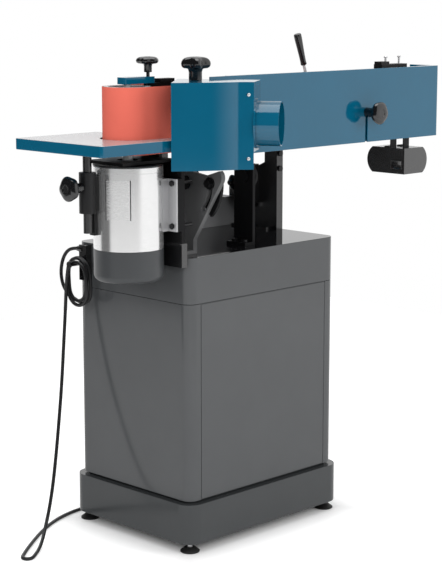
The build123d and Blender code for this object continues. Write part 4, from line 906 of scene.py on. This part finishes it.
def makeFeet(spec):
    pads, studs = bmesh.new(), bmesh.new()
    padHigh = spec["pad"][-1][1]
    crest, pitch, end = spec["stud"], spec["thread"], spec["studHigh"]
    root = crest - spec["threadDepth"]
    thread = [(0.0, padHigh)]
    for turn in range(int((end - padHigh) / pitch)):
        level = padHigh + turn * pitch
        thread += [(root, level), (crest, level + pitch / 2)]
    thread += [(root, end), (0.0, end)]
    nutLevels = (spec["nutLow"], spec["nutLow"] + spec["nut"][1] + spec["nutGap"])
    for place in footPlaces(spec):
        lathe(pads, spec["pad"], place, (0, 0, 1), steps=40)
        lathe(studs, thread, place, (0, 0, 1), steps=24)
        for level in nutLevels:
            addPrism(studs, place + Vector((0, 0, level * mm)), (0, 0, 1), 6, *spec["nut"])
    addMesh("footPads", pads, "stand", "footRubber", ("foot_pads",))
    addMesh("footStuds", studs, "stand", "brightSteel", ("foot_studs",))


makeFeet(footSpec)
print("feet set")

# Plug with finger grooves and two pins, beside the coil
plugSpec = {
    "nose": [(0.0, 0.0), (15.0, 0.0), (17.0, 2.0), (17.0, 14.0)],
    "body": 17.0,
    "grip": 15.2,
    "ribs": 4,
    "ribStart": 16.0,
    "ribPitch": 5.0,
    "ribTaper": 0.6,
    "rib": (2.0, 3.0, 4.5),  # where the groove ends, the ridge starts and the ridge ends
    "tail": [(10.2, 44.0), (7.4, 56.0), (5.4, 66.0), (0.0, 66.0)],
    "pin": 2.4,
    "pinReach": 19.0,
    "pinSpread": 9.5,
    "pinShort": 0.2,
    "pinRound": 0.8,
}


def plugProfile(spec):
    profile = list(spec["nose"])
    grooveEnd, ridgeStart, ridgeEnd = spec["rib"]
    for rib in range(spec["ribs"]):
        start = spec["ribStart"] + spec["ribPitch"] * rib
        ridge = spec["body"] - spec["ribTaper"] * rib
        profile += [(spec["grip"], start), (spec["grip"], start + grooveEnd)]
        profile += [(ridge, start + ridgeStart), (ridge, start + ridgeEnd)]
    return profile + spec["tail"]


def makePlug(spec):
    low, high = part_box("mains_plug")
    at = Vector((low.x + spec["pinReach"] * mm, (low.y + high.y) / 2, spec["body"] * mm))
    bm = bmesh.new()
    lathe(bm, plugProfile(spec), at, (1, 0, 0), steps=40)
    for side in (-1, 1):
        root = at + Vector((0, 0, side * spec["pinSpread"] * mm))  # one above the other
        addPrism(bm, root, (-1, 0, 0), 20, spec["pin"], spec["pinReach"] - spec["pinShort"], spec["pinRound"])
    return addMesh("mainsPlug", bm, "stand", "knobBlack", ("mains_plug",))


mainsPlug = makePlug(plugSpec)

# Rounded arrises on the sheet metal and castings of the frame, by width in millimetres
arrisNodes = {
    0.7: ["table_columns", "trunnion_plate", "tilt_quadrant", "motor_mount_plate", "cross_channel",
          "drum_arm", "guard_strap", "cord_hook", "table_sleeves"],
    0.8: ["cabinet_shell", "access_panel", "cabinet_cap", "plinth", "rear_guard", "dust_hood",
          "drum_top_block"],
    1.2: ["small_table", "main_table", "motor_feet", "post_clamp", "idler_yoke", "carriage_bar"],
    2.0: ["switch_box"],
}
arrisSpec = {"segments": 2, "fromAngle": 40.0, "flatAngle": 1.0, "evenWeight": 100}  # angles in degrees


def roundArris(node, width, spec):
    weld = node.modifiers.new("joinFaces", "WELD")
    weld.merge_threshold = weldReach
    flat = node.modifiers.new("flattenFaces", "DECIMATE")
    flat.decimate_type = "DISSOLVE"
    flat.angle_limit = radians(spec["flatAngle"])
    bevel = node.modifiers.new("arris", "BEVEL")
    bevel.width = width * mm
    bevel.segments = spec["segments"]
    bevel.limit_method = "ANGLE"
    bevel.angle_limit = radians(spec["fromAngle"])
    even = node.modifiers.new("evenNormals", "WEIGHTED_NORMAL")
    even.mode = "FACE_AREA"
    even.weight = spec["evenWeight"]
    even.keep_sharp = False


for arrisWidth, nodeNames in arrisNodes.items():
    for nodeName in nodeNames:
        roundArris(nodes[nodeName], arrisWidth, arrisSpec)
print("arrises rounded")

# Floor, studio light and world
floorSpec = {
    "reach": 2.4,
    "colour": (0.86, 0.86, 0.86),
    "rough": 0.6,
    "glow": 0.5,
    "shade": (-0.05, 0.1),  # a painted shadow: the glow comes up between these distances past the plinth
}


def easedRange(tree, value, limits, low, high):
    eased = addNode(tree, "ShaderNodeMapRange", interpolation_type="SMOOTHSTEP")
    eased.inputs["From Min"].default_value = limits[0]
    eased.inputs["From Max"].default_value = limits[1]
    eased.inputs["To Min"].default_value = low
    eased.inputs["To Max"].default_value = high
    tree.links.new(value, eased.inputs["Value"])
    return eased.outputs["Result"]


def combine(tree, operation, first, second):
    node = addNode(tree, "ShaderNodeMath", operation=operation)
    tree.links.new(first, node.inputs[0])
    tree.links.new(second, node.inputs[1])
    return node.outputs["Value"]


def distancePast(tree, value, low, high):  # how far a coordinate lies outside a range, negative inside it
    over = addNode(tree, "ShaderNodeMath", operation="SUBTRACT")
    over.inputs[1].default_value = high
    tree.links.new(value, over.inputs[0])
    under = addNode(tree, "ShaderNodeMath", operation="SUBTRACT")
    under.inputs[0].default_value = low
    tree.links.new(value, under.inputs[1])
    return combine(tree, "MAXIMUM", over.outputs["Value"], under.outputs["Value"])


def makeFloor(spec):  # pale to the eye, with a painted shadow: the glow is held back under and near the plinth
    bm = bmesh.new()
    bmesh.ops.create_grid(bm, x_segments=2, y_segments=2, size=spec["reach"])
    mesh = bpy.data.meshes.new("studioFloor")
    bm.to_mesh(mesh)
    bm.free()
    floor = bpy.data.objects.new("studioFloor", mesh)
    scene.collection.objects.link(floor)
    material, tree, shader = newMaterial("paleFloor")
    shader.inputs["Base Color"].default_value = (*spec["colour"], 1.0)
    shader.inputs["Roughness"].default_value = spec["rough"]
    path = addNode(tree, "ShaderNodeLightPath")
    glow = addNode(tree, "ShaderNodeEmission")
    low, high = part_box("plinth")
    way = addNode(tree, "ShaderNodeSeparateXYZ")
    tree.links.new(addNode(tree, "ShaderNodeTexCoord").outputs["Object"], way.inputs["Vector"])
    beyond = combine(tree, "MAXIMUM", distancePast(tree, way.outputs["X"], low.x, high.x),
                     distancePast(tree, way.outputs["Y"], low.y, high.y))
    # the glow fades to nought towards the plinth: a painted shadow on the floor
    clear = easedRange(tree, beyond, spec["shade"], 0.0, spec["glow"])
    tree.links.new(combine(tree, "MULTIPLY", path.outputs["Is Camera Ray"], clear), glow.inputs["Strength"])
    joined = addNode(tree, "ShaderNodeAddShader")
    tree.links.new(shader.outputs["BSDF"], joined.inputs[0])
    tree.links.new(glow.outputs["Emission"], joined.inputs[1])
    tree.links.new(joined.outputs["Shader"], tree.nodes["Material Output"].inputs["Surface"])
    mesh.materials.append(material)


worldSpec = {
    "fill": 0.55,
    "backdrop": 1.0,
    "darkSide": 0.05,
    "turn": (-0.25, 0.12),  # along X, from the dark side to the white one
    "overhead": 3.0,
    "overheadFrom": (0.87, 0.89),  # along Z
    "floorFrom": (-0.105, -0.125),  # along Z
    "floorTurn": (0.35, 0.15),  # along Y, rising towards the rear
    "floorSide": (-0.65, -0.54),  # along X, rising towards +X
}


# White to the eye; shiny faces see it white towards +X, dark towards -X, bright overhead, pale below
def makeWorld(spec):
    world = bpy.data.worlds.new("studioWorld")
    scene.world = world
    world.use_nodes = True
    tree = world.node_tree
    background = tree.nodes["Background"]
    background.inputs["Color"].default_value = (1.0, 1.0, 1.0, 1.0)
    path = addNode(tree, "ShaderNodeLightPath")
    way = addNode(tree, "ShaderNodeSeparateXYZ")
    tree.links.new(addNode(tree, "ShaderNodeTexCoord").outputs["Generated"], way.inputs["Vector"])
    sides = easedRange(tree, way.outputs["X"], spec["turn"], spec["darkSide"], spec["backdrop"])
    overhead = easedRange(tree, way.outputs["Z"], spec["overheadFrom"], 0.0, spec["overhead"])
    below = easedRange(tree, way.outputs["Z"], spec["floorFrom"], 0.0, spec["backdrop"])
    rearward = easedRange(tree, way.outputs["Y"], spec["floorTurn"], 0.0, 1.0)
    sideways = easedRange(tree, way.outputs["X"], spec["floorSide"], 0.0, 1.0)
    floorSeen = combine(tree, "MULTIPLY", below, combine(tree, "MAXIMUM", rearward, sideways))
    shown = combine(tree, "MAXIMUM", combine(tree, "MAXIMUM", sides, overhead), floorSeen)
    lit = addNode(tree, "ShaderNodeMix")
    lit.inputs["A"].default_value = spec["fill"]
    tree.links.new(path.outputs["Is Glossy Ray"], lit.inputs["Factor"])
    tree.links.new(shown, lit.inputs["B"])
    seen = combine(tree, "MAXIMUM", path.outputs["Is Camera Ray"], path.outputs["Is Transmission Ray"])
    strength = addNode(tree, "ShaderNodeMix")
    strength.inputs["B"].default_value = spec["backdrop"]
    tree.links.new(seen, strength.inputs["Factor"])
    tree.links.new(lit.outputs["Result"], strength.inputs["A"])
    tree.links.new(strength.outputs["Result"], background.inputs["Strength"])


lampSpecs = {
    "keyLamp": {"from": (2.2, -3.8, 2.0), "to": (0.0, -0.1, 0.9), "size": 1.6, "power": 66.0},
    "frontSoftbox": {"from": (-2.6, -4.3, 2.4), "to": (0.0, 0.0, 0.7), "size": 3.0, "power": 108.0},
    "leftSoftbox": {"from": (-4.4, -0.6, 1.9), "to": (-0.1, 0.0, 0.7), "size": 2.5, "power": 55.0},
    "topSoftbox": {"from": (-0.6, 0.4, 4.2), "to": (0.0, 0.0, 0.5), "size": 2.6, "power": 45.0},
}


def makeLamp(name, spec):
    lamp = bpy.data.lights.new(name, "AREA")
    lamp.shape = "SQUARE"
    lamp.size = spec["size"]
    lamp.energy = spec["power"]
    holder = bpy.data.objects.new(name, lamp)
    holder.location = spec["from"]
    aim = Vector(spec["to"]) - Vector(spec["from"])
    holder.rotation_mode = "QUATERNION"
    holder.rotation_quaternion = aim.to_track_quat("-Z", "Y")
    holder.visible_glossy = False
    scene.collection.objects.link(holder)


makeFloor(floorSpec)
makeWorld(worldSpec)
for lampName, lampSpec in lampSpecs.items():
    makeLamp(lampName, lampSpec)
print("floor, world and lamps set")
